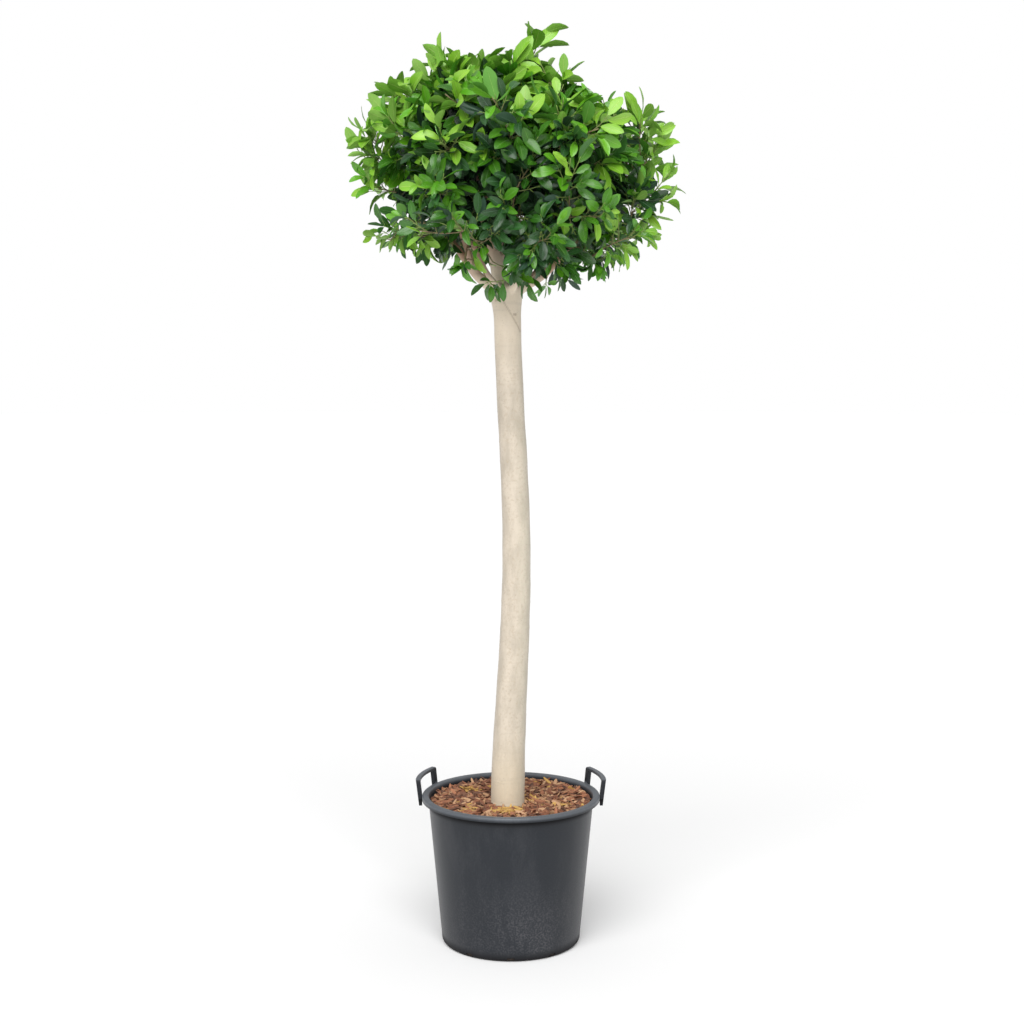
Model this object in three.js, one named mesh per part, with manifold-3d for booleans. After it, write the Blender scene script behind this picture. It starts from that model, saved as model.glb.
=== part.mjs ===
// A standard evergreen tree: a round crown of glossy leaves on one tall bare trunk,
// standing in a round nursery pot with two loop handles and a top layer of bark mulch.
// Millimetres, +Z up. The origin is the centre of the pot's flat underside, +X is the
// right of the tree and -Y is its front.
import * as THREE from "three";
import { mergeVertices } from "three/addons/utils/BufferGeometryUtils.js";
import Module from "manifold-3d";

const wasm = await Module();
wasm.setup();

// Clearance between neighbouring solids, the distance under which corners are one, and the
// length of the shortest edge that a join leaves.
const GAP = 0.3;
const MERGE_DISTANCE = 1e-3;
const SHORTEST_EDGE = 0.01;

// Pot
const POT_HEIGHT = 415;
const RIM_RADIUS = 248.5;
const RIM_MOUTH_RADIUS = 229;
const RIM_ROUNDING = 4;
const LIP_HEIGHT = 14;
const WALL = 3.5;
const FLOOR = 4;
const WALL_RADIUS_AT_GROUND = 192.6;
const WALL_FLARE = 0.094;
const FOOT_ROUNDING = 12;
const POT_SEGMENTS = 36;
const DRAIN_HOLES = 10;
const DRAIN_WIDTH = 22;
const DRAIN_LOW = FLOOR;
const DRAIN_HIGH = 12;
const DRAIN_REACH = 10;
const SLOT_BEARING = 56;
const SLOT_WIDTH = 26;
const SLOT_HEIGHT = 8;
const SLOT_DEPTH = 1.5;
const SLOT_BELOW_LIP = 1;

// Loop handles, one on each side, both a little behind the middle of their side
const HANDLE_TOP = 458;
const HANDLE_FOOT = 383;
const HANDLE_BAR = 9;
const HANDLE_POST = 15;
const HANDLE_SPAN = 30.5;
const HANDLE_FOOT_OUTER = 257;
const HANDLE_TOP_INNER = 254.5;
const HANDLE_TOP_OUTER = 266;
const HANDLE_BAR_INNER = 253.5;
const HANDLE_BAR_STEPS = 5;
const HANDLE_GROOVE = 3;
const HANDLE_GROOVE_FOOT = 10;
const HANDLE_EDGE = 3.5;

// Filling
const SOIL_TOP = 377;
const MULCH_TOP = 399;
const MULCH_RINGS = 6;
const MULCH_EDGE = 0.9;
const FILL_SEGMENTS = 36;

// Waves that heap the mulch: height, and the distance between crests along X and along Y.
const MULCH_WAVES = [
  { height: 1.8, x: 145, y: 120 },
  { height: 1.4, x: 82, y: -96 },
  { height: 1.2, x: -210, y: 64 },
];

// Trunk: a tall stem with one slow sideways bow, drawn in a little at its foot, and swollen
// below the fork
const TRUNK_FOOT = SOIL_TOP + GAP;
const TRUNK_TOP = 1838;
const TRUNK_RADIUS = 36.2;
const TRUNK_TAPER = 14.5;
const TRUNK_TAPER_LENGTH = 420;
const FOOT_INSET = 4;
const FOOT_INSET_LENGTH = 80;
const BOW_MIDDLE = 3.2;
const BOW_SWING = 12.2;
const BOW_CENTRE = 1080;
const BOW_LENGTH = 1400;
const FOOT_FORWARD = 22;
const FORK_SHIFT = -4.5;
const FORK_START = 1700;
const FORK_HEIGHT = 1826;
const FORK_SWELL = 7.3;
const FORK_SWELL_LENGTH = 90;
const FORK_OVAL = 0.05;
const DOME_START = 1814;
const DOME_LEAST = 0.3;
const TRUNK_SIDES = 16;
const TRUNK_RINGS = 22;
const DOME_RINGS = 3;

// Crown: two rings of leaf masses and two masses on top. The crown stands higher on its left
// and hangs lower on its right.
const CROWN_CENTRE = new THREE.Vector3(10, 0, 2125);
const CROWN_RADII = new THREE.Vector3(450, 440, 350);
const SIDES = ["right", "back_right", "back_left", "left", "front_left", "front_right"];
const LOWER_RING = {
  names: SIDES, start: -12, reach: 246, middle: 14, height: 2008, slope: -0.03,
  radius: 200, depth: 176, depthSlope: 0.075, seed: 711,
};
const UPPER_RING = {
  names: SIDES, start: 12, reach: 236, middle: 2, height: 2212, slope: -0.12,
  radius: 196, depth: 158, depthSlope: -0.03, seed: 741,
};
const TOP_PAIR = {
  names: ["right", "left"], start: 0, reach: 108, middle: -20, height: 2326, slope: -0.07,
  radius: 180, depth: 140, depthSlope: -0.04, seed: 771,
};

// Long shoots that stand out of the round form, by the mass that they grow from
const LEADING_SHOOTS = {
  foliage_top_right: [[62, -20, 2440], [150, -40, 2345], [0, -60, 2372]],
  foliage_top_left: [[-185, -30, 2398], [-85, -40, 2378]],
  foliage_upper_left: [[-285, -60, 2300], [-360, -20, 2200], [-372, -20, 2150]],
  foliage_upper_right: [[345, -20, 2258], [372, 10, 2160]],
  foliage_lower_right: [[385, -20, 2075], [225, -90, 1882], [322, -64, 2036]],
  foliage_lower_front_right: [[120, -170, 1880]],
  foliage_lower_left: [[-300, -50, 1962], [-360, 10, 2085]],
  foliage_lower_front_left: [[-120, -170, 1880]],
};

// Boughs: each runs out of the trunk or of a parent bough and ends where it enters its mass.
// Girth is its radius at the root and at the tip, entry is how much of the way to the middle
// of its mass it goes, and rise is how much of its climb it has made half way along.
const THICK_BOUGHS = { left: [17, 9], right: [13, 8] };
const LOWER_BOUGH = { girth: [11, 7], entry: 0.62, rise: 0.42 };
const LEADER_BOUGH = { girth: [20, 7], entry: 0.72, rise: 0.5 };
const UPPER_BOUGH = { girth: [9, 6], entry: 0.62, rise: 0.55 };
const SIDE_FORK = 0.5;
const LEADER_FORKS = { first: 0.2, step: 0.11 };
const BOUGH_SIDES = 6;
const BOUGH_RINGS = 5;
const BOUGH_SPREAD = 0.55;
const FORK_DEPTH = 26;
const FORK_REACH = 14;
const COLLAR = 0.55;
const COLLAR_LENGTH = 0.12;

// Twigs
const SHOOTS = 9;
const SHOOT_CANDIDATES = 14;
const SHOOT_TRIES = 60;
const SHOOT_INNER = 0.25;
const SHOOT_OUTER = 0.72;
const SHOOT_MARGIN = 8;
const SHELL_INNER = 0.42;
const STEM_RADIUS = 9.2;
const STEM_LENGTH = 30;
const STEM_JOINTS = [0.5, 0.9];
const TWIG_SHARE = 0.47;
const TWIG_LEAST = 1.7;
const TWIG_TAPER = 0.7;
const TWIG_JOINTS = [0.4, 0.75];
const TWIG_TESTS = [0.4, 0.6, 0.8, 1];
const PATH_WEIGHT = 0.3;

// Height from which the trunk can meet the crown, and the straight stretches it is tested in
const CROWN_FOOT = 1526;
const STEM_STRETCHES = 8;

// Leaves
const LEAVES_ON_SHOOT = 5;
const LEAF_TRIES = 20;
const LEAF_LENGTH = 114;
const LEAF_VARIATION = 0.14;
const LEAF_WIDTH = 0.58;
const LEAF_THICKNESS = 2.4;
const LEAF_SWELL_AT = 0.2;
const LEAF_WIDEST_AT = 0.54;
const LEAF_MARGIN = 0.6;
const LEAF_TESTS = [0.35, 0.7];
const LEAF_INSET = 4;
const LEAF_PITCH = 10;
const LEAF_SPREAD = [20, 82];
const SHOOT_LIFT = 0.6;
const LIMB_CLEARANCE = 2;
const GOLDEN_ANGLE = 2.39996;
const STEEP = 0.9;

const UP = new THREE.Vector3(0, 0, 1);
const RIGHT = new THREE.Vector3(1, 0, 0);
const GROUND = new THREE.Vector3(0, 0, 0);
const FORK = new THREE.Vector3(0, 0, FORK_HEIGHT);
const toRadians = THREE.MathUtils.degToRad;
const mix = THREE.MathUtils.lerp;
const ease = THREE.MathUtils.smoothstep;

const COLOURS = {
  pot: { color: 0x3a3e44, roughness: 0.55, metalness: 0 },
  soil: { color: 0x2e221a, roughness: 0.95, metalness: 0 },
  mulch: { color: 0x7b4a30, roughness: 0.9, metalness: 0 },
  bark: { color: 0xd9cbb4, roughness: 0.75, metalness: 0 },
  bough: { color: 0xb08d72, roughness: 0.8, metalness: 0 },
  leaf: { color: 0x3f8a28, roughness: 0.35, metalness: 0 },
};

// A fixed sequence of numbers from 0 to 1 for each seed.
function makeRandom(seed) {
  let state = seed >>> 0;
  return () => {
    state = (Math.imul(state, 1664525) + 1013904223) >>> 0;
    return state / 4294967296;
  };
}

// Moves every vertex of a geometry to where place() puts it, measured from an origin.
function reshape(geometry, place, origin = GROUND) {
  const positions = geometry.attributes.position;
  const vertex = new THREE.Vector3();
  for (let i = 0; i < positions.count; i++) {
    vertex.fromBufferAttribute(positions, i);
    const moved = place(vertex.clone()).sub(origin);
    positions.setXYZ(i, moved.x, moved.y, moved.z);
  }
  return geometry;
}

// A closed solid from a geometry, with shared corners merged and empty triangles left out.
function solid(geometry) {
  const bare = new THREE.BufferGeometry();
  bare.setAttribute("position", geometry.attributes.position.clone());
  if (geometry.index) bare.setIndex(geometry.index.clone());
  const merged = mergeVertices(bare, MERGE_DISTANCE);
  const corners = merged.index.array;
  const kept = [];
  for (let i = 0; i < corners.length; i += 3) {
    const [a, b, c] = [corners[i], corners[i + 1], corners[i + 2]];
    if (a !== b && b !== c && c !== a) kept.push(a, b, c);
  }
  const vertProperties = Float32Array.from(merged.attributes.position.array);
  const mesh = new wasm.Mesh({ numProp: 3, vertProperties, triVerts: Uint32Array.from(kept) });
  return new wasm.Manifold(mesh);
}

// The biggest connected body of a solid: loose scraps and sealed bubbles are dropped.
function mainBody(shape) {
  const bodies = shape.decompose();
  return bodies.reduce((best, body) => (body.volume() > best.volume() ? body : best));
}

function join(shapes) {
  return shapes.reduce((whole, shape) => whole.add(shape));
}

function named(name, shape, look) {
  const { vertProperties, triVerts } = shape.getMesh();
  const geometry = new THREE.BufferGeometry();
  geometry.setAttribute("position", new THREE.Float32BufferAttribute(vertProperties, 3));
  geometry.setIndex(Array.from(triVerts));
  geometry.computeVertexNormals();
  const mesh = new THREE.Mesh(geometry, new THREE.MeshStandardMaterial(look));
  mesh.name = name;
  return mesh;
}

// A solid of revolution about the Z axis from an outline of radius and height.
function turned(outline, segments) {
  const points = outline.map(([radius, height]) => new THREE.Vector2(radius, height));
  const geometry = new THREE.LatheGeometry(points, segments);
  return geometry.rotateX(Math.PI / 2);
}

// A block bent round the Z axis: bearings in degrees, and an inner and an outer radius that
// may change from one level to the next.
function bentBlock(bearings, levels, steps) {
  const rows = levels.length - 1;
  const geometry = new THREE.BoxGeometry(1, 1, 1, 1, steps, rows);
  reshape(geometry, ({ x, y, z }) => {
    const level = levels[Math.round((z + 0.5) * rows)];
    const bearing = toRadians(mix(bearings[0], bearings[1], y + 0.5));
    const radius = x < 0 ? level.inner : level.outer;
    return new THREE.Vector3(radius * Math.cos(bearing), radius * Math.sin(bearing), level.height);
  });
  return solid(geometry);
}

function wallRadius(height) {
  return WALL_RADIUS_AT_GROUND + WALL_FLARE * height;
}

function innerWallRadius(height) {
  return mix(wallRadius(FLOOR) - WALL, RIM_MOUTH_RADIUS, (height - FLOOR) / (POT_HEIGHT - FLOOR));
}

// Points of a quarter circle, for the rounded corners of the pot's outline.
function quarter(centre, radius, fromDegrees, toDegrees, steps) {
  return Array.from({ length: steps + 1 }, (_, i) => {
    const angle = toRadians(mix(fromDegrees, toDegrees, i / steps));
    return [centre[0] + radius * Math.cos(angle), centre[1] + radius * Math.sin(angle)];
  });
}

// The pot is a thin wall with a floor, and a lip that turns out and down into a skirt.
function potShell() {
  const lipBottom = POT_HEIGHT - LIP_HEIGHT;
  const lipUnderside = POT_HEIGHT - RIM_ROUNDING;
  const skirtInner = RIM_RADIUS - WALL;
  const footCentre = [wallRadius(FOOT_ROUNDING) - FOOT_ROUNDING, FOOT_ROUNDING];
  const outline = [
    [0, 0],
    ...quarter(footCentre, FOOT_ROUNDING, -90, 0, 2),
    [wallRadius(lipUnderside), lipUnderside],
    [skirtInner, lipUnderside],
    [skirtInner, lipBottom],
    [RIM_RADIUS, lipBottom],
    ...quarter([RIM_RADIUS - RIM_ROUNDING, POT_HEIGHT - RIM_ROUNDING], RIM_ROUNDING, 0, 90, 2),
    ...quarter([RIM_MOUTH_RADIUS + RIM_ROUNDING, POT_HEIGHT - RIM_ROUNDING], RIM_ROUNDING, 90, 180, 2),
    [innerWallRadius(FLOOR), FLOOR],
    [0, FLOOR],
  ];
  return solid(turned(outline, POT_SEGMENTS));
}

// The bearings of a straight stretch of the given width at a radius, about a middle bearing.
function bearingsOf(middle, width, radius) {
  const half = THREE.MathUtils.radToDeg(width / 2 / radius);
  return [middle - half, middle + half];
}

// Drain holes run through the foot of the wall, just over the floor.
function drainCutters() {
  const inner = wallRadius(0) - DRAIN_REACH;
  const outer = wallRadius(0) + DRAIN_REACH;
  return Array.from({ length: DRAIN_HOLES }, (_, i) => {
    const bearing = -90 + (360 / DRAIN_HOLES) * i;
    const levels = [{ height: DRAIN_LOW, inner, outer }, { height: DRAIN_HIGH, inner, outer }];
    return bentBlock(bearingsOf(bearing, DRAIN_WIDTH, outer), levels, 2);
  });
}

// Shallow slots in the wall, just under the lip, two at the front and two at the back.
function slotCutters() {
  const high = POT_HEIGHT - LIP_HEIGHT - SLOT_BELOW_LIP;
  const low = high - SLOT_HEIGHT;
  const inner = wallRadius(low) - SLOT_DEPTH;
  const outer = wallRadius(high) + SLOT_DEPTH;
  const levels = [{ height: low, inner, outer }, { height: high, inner, outer }];
  const middles = [-90, 90].flatMap((side) => [side - SLOT_BEARING, side + SLOT_BEARING]);
  return middles.map((bearing) => bentBlock(bearingsOf(bearing, SLOT_WIDTH, outer), levels, 2));
}

function pot() {
  return mainBody(potShell().subtract(join([...drainCutters(), ...slotCutters()])));
}

// One upright of a handle, on the outside of the lip, leaning outwards above it.
function handlePost(bearing) {
  const onLip = RIM_RADIUS + GAP;
  const lean = (height) => (height - HANDLE_FOOT) / (HANDLE_TOP - HANDLE_FOOT);
  const outer = (height) => mix(HANDLE_FOOT_OUTER, HANDLE_TOP_OUTER, lean(height));
  const bearings = bearingsOf(bearing, HANDLE_POST, HANDLE_TOP_INNER);
  const post = bentBlock(bearings, [
    { height: HANDLE_FOOT, inner: onLip, outer: outer(HANDLE_FOOT) },
    { height: POT_HEIGHT, inner: onLip, outer: outer(POT_HEIGHT) },
    { height: HANDLE_TOP, inner: HANDLE_TOP_INNER, outer: HANDLE_TOP_OUTER },
  ], 2);
  const grooved = bearingsOf(bearing, HANDLE_POST - 2 * HANDLE_EDGE, HANDLE_TOP_INNER);
  const [low, high] = [HANDLE_FOOT + HANDLE_GROOVE_FOOT, HANDLE_TOP - HANDLE_BAR];
  const groove = bentBlock(grooved, [
    { height: low, inner: outer(low) - HANDLE_GROOVE, outer: outer(low) + HANDLE_GROOVE },
    { height: high, inner: outer(high) - HANDLE_GROOVE, outer: outer(high) + HANDLE_GROOVE },
  ], 2);
  return post.subtract(groove);
}

// A loop handle from one bearing to another: two uprights and a grip bar that follows the rim.
function handle(firstBearing, lastBearing) {
  const overhang = bearingsOf(0, HANDLE_POST, HANDLE_TOP_INNER)[1];
  const ends = [firstBearing - overhang, lastBearing + overhang];
  const bar = bentBlock(ends, [
    { height: HANDLE_TOP - HANDLE_BAR, inner: HANDLE_BAR_INNER, outer: HANDLE_TOP_OUTER },
    { height: HANDLE_TOP, inner: HANDLE_TOP_INNER, outer: HANDLE_TOP_OUTER },
  ], HANDLE_BAR_STEPS);
  return mainBody(join([bar, handlePost(firstBearing), handlePost(lastBearing)]));
}

// The root ball's soil fills the pot up to its flat top.
function pottingSoil() {
  const bottom = FLOOR + GAP;
  const outline = [
    [0, bottom],
    [innerWallRadius(bottom) - GAP, bottom],
    [innerWallRadius(SOIL_TOP) - GAP, SOIL_TOP],
    [0, SOIL_TOP],
  ];
  return solid(turned(outline, FILL_SEGMENTS));
}

// Height of the mulch over its mean level.
function mulchRelief({ x, y }) {
  const rise = (wave) => wave.height * Math.sin(2 * Math.PI * (x / wave.x + y / wave.y));
  return MULCH_WAVES.reduce((sum, wave) => sum + rise(wave), 0);
}

// Mulch lies on the soil as one heaped layer with a hole where the trunk stands.
function barkMulch() {
  const bottom = SOIL_TOP + GAP;
  const edge = innerWallRadius(MULCH_TOP) - MULCH_EDGE;
  const top = Array.from({ length: MULCH_RINGS + 1 }, (_, i) => [edge * (1 - i / MULCH_RINGS), MULCH_TOP]);
  const outline = [[0, bottom], [innerWallRadius(bottom) - GAP, bottom], ...top];
  const geometry = reshape(turned(outline, FILL_SEGMENTS / 2), (vertex) => {
    if (vertex.z > bottom + GAP) vertex.z += mulchRelief(vertex);
    return vertex;
  });
  return mainBody(solid(geometry).subtract(trunkSolid(GAP, GROUND)));
}

// Middle of the trunk at a height: a slow bow to the right, from a foot that stands forward.
function trunkCentre(height) {
  const turn = (2 * Math.PI * (height - BOW_CENTRE)) / BOW_LENGTH;
  const fork = FORK_SHIFT * ease(height, FORK_START, FORK_HEIGHT);
  const climbed = (height - TRUNK_FOOT) / (FORK_HEIGHT - TRUNK_FOOT);
  const forward = FOOT_FORWARD * (1 - Math.min(climbed, 1)) ** 2;
  return new THREE.Vector3(BOW_MIDDLE + BOW_SWING * Math.cos(turn) + fork, -forward, height);
}

// Radius of the trunk at a height: an even taper less the inset of its foot, and a swelling at
// the fork that closes in a low dome.
function trunkRadius(height) {
  const above = height - TRUNK_FOOT;
  const taper = TRUNK_TAPER * Math.exp(-above / TRUNK_TAPER_LENGTH);
  const inset = FOOT_INSET * Math.exp(-above / FOOT_INSET_LENGTH);
  const swell = FORK_SWELL * ease(height, FORK_HEIGHT - FORK_SWELL_LENGTH, FORK_HEIGHT);
  const dome = Math.max(0, (height - DOME_START) / (TRUNK_TOP - DOME_START));
  const closing = Math.max(DOME_LEAST, Math.sqrt(Math.max(0, 1 - dome ** 2)));
  return (TRUNK_RADIUS + taper - inset + swell) * closing;
}

// Heights of the trunk's rings: even along the stem, and closer on the dome.
function trunkRingHeight(ring) {
  const stemRings = TRUNK_RINGS - DOME_RINGS;
  if (ring <= stemRings) return mix(TRUNK_FOOT, DOME_START, ring / stemRings);
  return mix(DOME_START, TRUNK_TOP, (ring - stemRings) / DOME_RINGS);
}

// The trunk, grown by a clearance, with its places measured from an origin.
function trunkSolid(extra, origin) {
  const geometry = new THREE.CylinderGeometry(1, 1, 1, TRUNK_SIDES, TRUNK_RINGS);
  geometry.rotateX(Math.PI / 2);
  reshape(geometry, ({ x, y, z }) => {
    const ring = Math.round((z + 0.5) * TRUNK_RINGS);
    const height = trunkRingHeight(ring);
    const oval = 1 + FORK_OVAL * ease(height, FORK_START, FORK_HEIGHT) * (x * x - y * y);
    const radius = trunkRadius(height) * oval + extra;
    const place = trunkCentre(height);
    const ends = { 0: -extra, [TRUNK_RINGS]: extra };
    return place.add(new THREE.Vector3(x * radius, y * radius, ends[ring] ?? 0));
  }, origin);
  return solid(geometry);
}

// A tapering limb along a curve: a cylinder whose rings are set across the curve.
function limbSolid(curve, radiusAt, sides, rings) {
  const frames = curve.computeFrenetFrames(rings, false);
  const geometry = new THREE.CylinderGeometry(1, 1, 1, sides, rings);
  reshape(geometry, ({ x, y, z }) => {
    const ring = Math.round((y + 0.5) * rings);
    const radius = radiusAt(ring / rings);
    const place = curve.getPointAt(ring / rings);
    place.addScaledVector(frames.normals[ring], x * radius);
    return place.addScaledVector(frames.binormals[ring], -z * radius);
  }, FORK);
  return solid(geometry);
}

// One ring of masses round the crown's axis, each with its own ellipsoid and random seed.
function ringOfMasses(level, ring) {
  return ring.names.map((name, i) => {
    const bearing = toRadians(ring.start + (360 / ring.names.length) * i);
    const x = ring.middle + ring.reach * Math.cos(bearing);
    const y = ring.reach * Math.sin(bearing);
    const fullName = `foliage_${level}_${name}`;
    const leaders = (LEADING_SHOOTS[fullName] ?? []).map((place) => new THREE.Vector3(...place));
    return {
      name: fullName,
      centre: new THREE.Vector3(x, y, ring.height + ring.slope * x),
      radii: new THREE.Vector3(ring.radius, ring.radius, ring.depth + ring.depthSlope * x),
      weight: ((ring.radius + ring.depth) / 2) ** 2,
      leaders,
      seed: ring.seed + i,
    };
  });
}

const masses = [
  ...ringOfMasses("lower", LOWER_RING),
  ...ringOfMasses("upper", UPPER_RING),
  ...ringOfMasses("top", TOP_PAIR),
];

// How far a place lies inside a mass's own space, which ends at a plane towards each
// neighbour, where the two ellipsoids share the room between them. The space is convex.
function roomInside(place, mass) {
  const own = place.distanceToSquared(mass.centre) - mass.weight;
  return masses.reduce((room, other) => {
    if (other === mass) return room;
    const theirs = place.distanceToSquared(other.centre) - other.weight;
    return Math.min(room, (theirs - own) / (2 * mass.centre.distanceTo(other.centre)));
  }, Infinity);
}

// Distance from a middle as a share of the ellipsoid's radius that way.
function shareOfEllipsoid(place, centre, radii) {
  return place.clone().sub(centre).divide(radii).length();
}

// What each bough is called, what it grows from and how far along, and the mass it feeds. The
// leader goes up the middle and bears the boughs of the upper ring that have no side bough.
function planBoughs() {
  const lower = SIDES.map((side) => ({
    ...LOWER_BOUGH,
    name: `bough_${side}`,
    mass: `foliage_lower_${side}`,
    girth: THICK_BOUGHS[side] ?? LOWER_BOUGH.girth,
  }));
  const leader = { ...LEADER_BOUGH, name: "bough_leader", mass: "foliage_top_left" };
  const upper = (place, parent, along) => ({
    ...UPPER_BOUGH, name: `bough_${place}`, mass: `foliage_${place}`, parent, along,
  });
  const fromSides = Object.keys(THICK_BOUGHS)
    .map((side) => upper(`upper_${side}`, `bough_${side}`, SIDE_FORK));
  const thinSides = SIDES.filter((side) => !THICK_BOUGHS[side]);
  const fromLeader = [...thinSides.map((side) => `upper_${side}`), "top_right"]
    .map((place, i) => upper(place, "bough_leader", LEADER_FORKS.first + LEADER_FORKS.step * i));
  return [...lower, leader, ...fromSides, ...fromLeader];
}

// Boughs with their curves and radii. Parents come first.
function growBoughs() {
  const grown = new Map();
  for (const bough of planBoughs()) {
    const mass = masses.find(({ name }) => name === bough.mass);
    const parent = grown.get(bough.parent);
    const start = parent ? parent.curve.getPointAt(bough.along) : boughRoot(mass);
    const end = start.clone().lerp(mass.centre, bough.entry);
    const knee = start.clone().lerp(end, BOUGH_SPREAD).setZ(mix(start.z, end.z, bough.rise));
    const curve = new THREE.CatmullRomCurve3([start, knee, end]);
    const [thick, thin] = bough.girth;
    const radiusAt = (t) => mix(thick, thin, t) * (1 + COLLAR * Math.exp(-t / COLLAR_LENGTH));
    grown.set(bough.name, { name: bough.name, mass, curve, radiusAt });
  }
  return [...grown.values()];
}

// A bough of the trunk starts inside the fork, on the side that it leaves towards.
function boughRoot(mass) {
  const root = trunkCentre(FORK_HEIGHT - FORK_DEPTH);
  const outwards = mass.centre.clone().sub(root).setZ(0);
  const lean = Math.min(1, outwards.length() / LOWER_RING.reach);
  return root.addScaledVector(outwards.normalize(), FORK_REACH * lean);
}

const boughs = growBoughs();

// Straight stretches of a limb between shares of its length, for the tests that keep leaves
// clear of it.
function stretchesOf(placeAt, radiusAt, steps) {
  return Array.from({ length: steps }, (_, i) => {
    const line = new THREE.Line3(placeAt(i / steps), placeAt((i + 1) / steps));
    return { line, radius: radiusAt(i / steps) };
  });
}

function allStretches() {
  const stemPlace = (t) => trunkCentre(mix(CROWN_FOOT, TRUNK_TOP, t));
  const stem = stretchesOf(stemPlace, () => trunkRadius(DOME_START), STEM_STRETCHES);
  const limbs = boughs.flatMap(({ curve, radiusAt }) =>
    stretchesOf((t) => curve.getPointAt(t), radiusAt, BOUGH_RINGS));
  return [...stem, ...limbs];
}

const stretches = allStretches();

function touchesLimb(place, clearance) {
  const nearest = new THREE.Vector3();
  return stretches.some(({ line, radius }) => {
    line.closestPointToPoint(place, true, nearest);
    return nearest.distanceTo(place) < radius + clearance;
  });
}

// A random place in a mass's ellipsoid, more often in its outer part.
function randomPlace(mass, random) {
  const turn = 2 * Math.PI * random();
  const level = 2 * random() - 1;
  const flat = Math.sqrt(1 - level * level);
  const share = mix(SHOOT_INNER, SHOOT_OUTER, Math.sqrt(random()));
  const direction = new THREE.Vector3(flat * Math.cos(turn), flat * Math.sin(turn), level);
  return direction.multiply(mass.radii).multiplyScalar(share).add(mass.centre);
}

// Places where shoots end: the mass's long shoots first, and then, of several random places in
// its space and in the outer shell of the crown, always the one farthest from those before.
function shootEnds(mass, count, random) {
  const ends = [...mass.leaders];
  const room = (place) => Math.min(...ends.map((end) => end.distanceTo(place)), Infinity);
  const fits = (place) => roomInside(place, mass) > SHOOT_MARGIN
    && shareOfEllipsoid(place, CROWN_CENTRE, CROWN_RADII) > SHELL_INNER
    && !touchesLimb(place, SHOOT_MARGIN);
  while (ends.length < count) {
    const candidates = [];
    for (let i = 0; i < SHOOT_TRIES && candidates.length < SHOOT_CANDIDATES; i++) {
      const place = randomPlace(mass, random);
      if (fits(place)) candidates.push(place);
    }
    if (candidates.length === 0) break;
    ends.push(candidates.reduce((best, place) => (room(place) > room(best) ? place : best)));
  }
  return ends;
}

// Twigs of a mass: a short stem from the bough's tip, then one twig to each shoot's end, from
// the joint on the twigs so far that gives the shortest way. Each is thinner than its parent.
function growTwigs(mass, bough, random) {
  const tip = bough.curve.getPointAt(1);
  const forward = bough.curve.getTangentAt(1);
  const root = tip.clone().addScaledVector(forward, GAP);
  const knot = tip.clone().addScaledVector(forward, STEM_LENGTH);
  const stem = { from: root, end: knot, radii: [STEM_RADIUS, STEM_RADIUS * TWIG_TAPER] };
  const joints = jointsOf(stem, STEM_JOINTS, 0);
  const twigs = [stem];
  const ends = shootEnds(mass, SHOOTS, random);
  ends.sort((a, b) => a.distanceTo(knot) - b.distanceTo(knot));
  for (const end of ends) {
    const cost = ({ place, travelled }) => place.distanceTo(end) + PATH_WEIGHT * travelled;
    const joint = joints.reduce((best, other) => (cost(other) < cost(best) ? other : best));
    const thick = Math.max(TWIG_LEAST, joint.radius * TWIG_SHARE);
    const radii = [thick, Math.max(TWIG_LEAST, thick * TWIG_TAPER)];
    const twig = { from: joint.place, end, radii, leader: mass.leaders.includes(end) };
    if (twigTouchesLimb(twig)) continue;
    twigs.push(twig);
    joints.push(...jointsOf(twig, TWIG_JOINTS, joint.travelled));
  }
  return twigs;
}

// Places on a twig where further twigs can start, with its radius there and the way from the
// bough's tip.
function jointsOf({ from, end, radii }, shares, travelled) {
  return shares.map((along) => ({
    place: from.clone().lerp(end, along),
    radius: mix(...radii, along),
    travelled: travelled + along * from.distanceTo(end),
  }));
}

function twigTouchesLimb({ from, end }) {
  return TWIG_TESTS.some((along) => touchesLimb(from.clone().lerp(end, along), STEM_RADIUS));
}

function twigSolid({ from, end, radii }) {
  return limbSolid(new THREE.LineCurve3(from, end), (t) => mix(...radii, t), 3, 1);
}

// The leaves of a shoot stand round it by the golden angle, from its end backwards. One that
// would leave the mass's space, stand out of its ellipsoid, or touch a limb or a leaf that is
// there already is skipped.
function addShootLeaves(leaves, mass, twig, twigs, random) {
  const { from, end } = twig;
  const back = from.clone().sub(end).normalize();
  const outwards = end.clone().sub(CROWN_CENTRE).normalize().add(UP).normalize();
  const axis = outwards.clone().multiplyScalar(SHOOT_LIFT).sub(back).normalize();
  const side = axis.clone().cross(Math.abs(axis.z) > STEEP ? RIGHT : UP).normalize();
  const front = axis.clone().cross(side);
  const start = random() * 2 * Math.PI;
  let grown = 0;
  for (let i = 0; i < LEAF_TRIES && grown < LEAVES_ON_SHOOT; i++) {
    const turn = start + i * GOLDEN_ANGLE;
    const spread = toRadians(mix(...LEAF_SPREAD, random()));
    const length = LEAF_LENGTH * (1 + LEAF_VARIATION * (2 * random() - 1));
    const radial = side.clone().multiplyScalar(Math.cos(turn)).addScaledVector(front, Math.sin(turn));
    const direction = axis.clone().multiplyScalar(Math.cos(spread));
    direction.addScaledVector(radial, Math.sin(spread));
    const base = end.clone().addScaledVector(back, LEAF_INSET + LEAF_PITCH * grown);
    const leaf = makeLeaf(base, direction, outwards, length);
    const free = leafFits(leaf, mass, twig.leader)
      && !leaves.some((other) => leavesCross(leaf, other))
      && !twigs.some((other) => other !== twig && meetsBlade(other.from, other.end, leaf));
    if (!free) continue;
    leaves.push(leaf);
    grown += 1;
  }
}

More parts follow.
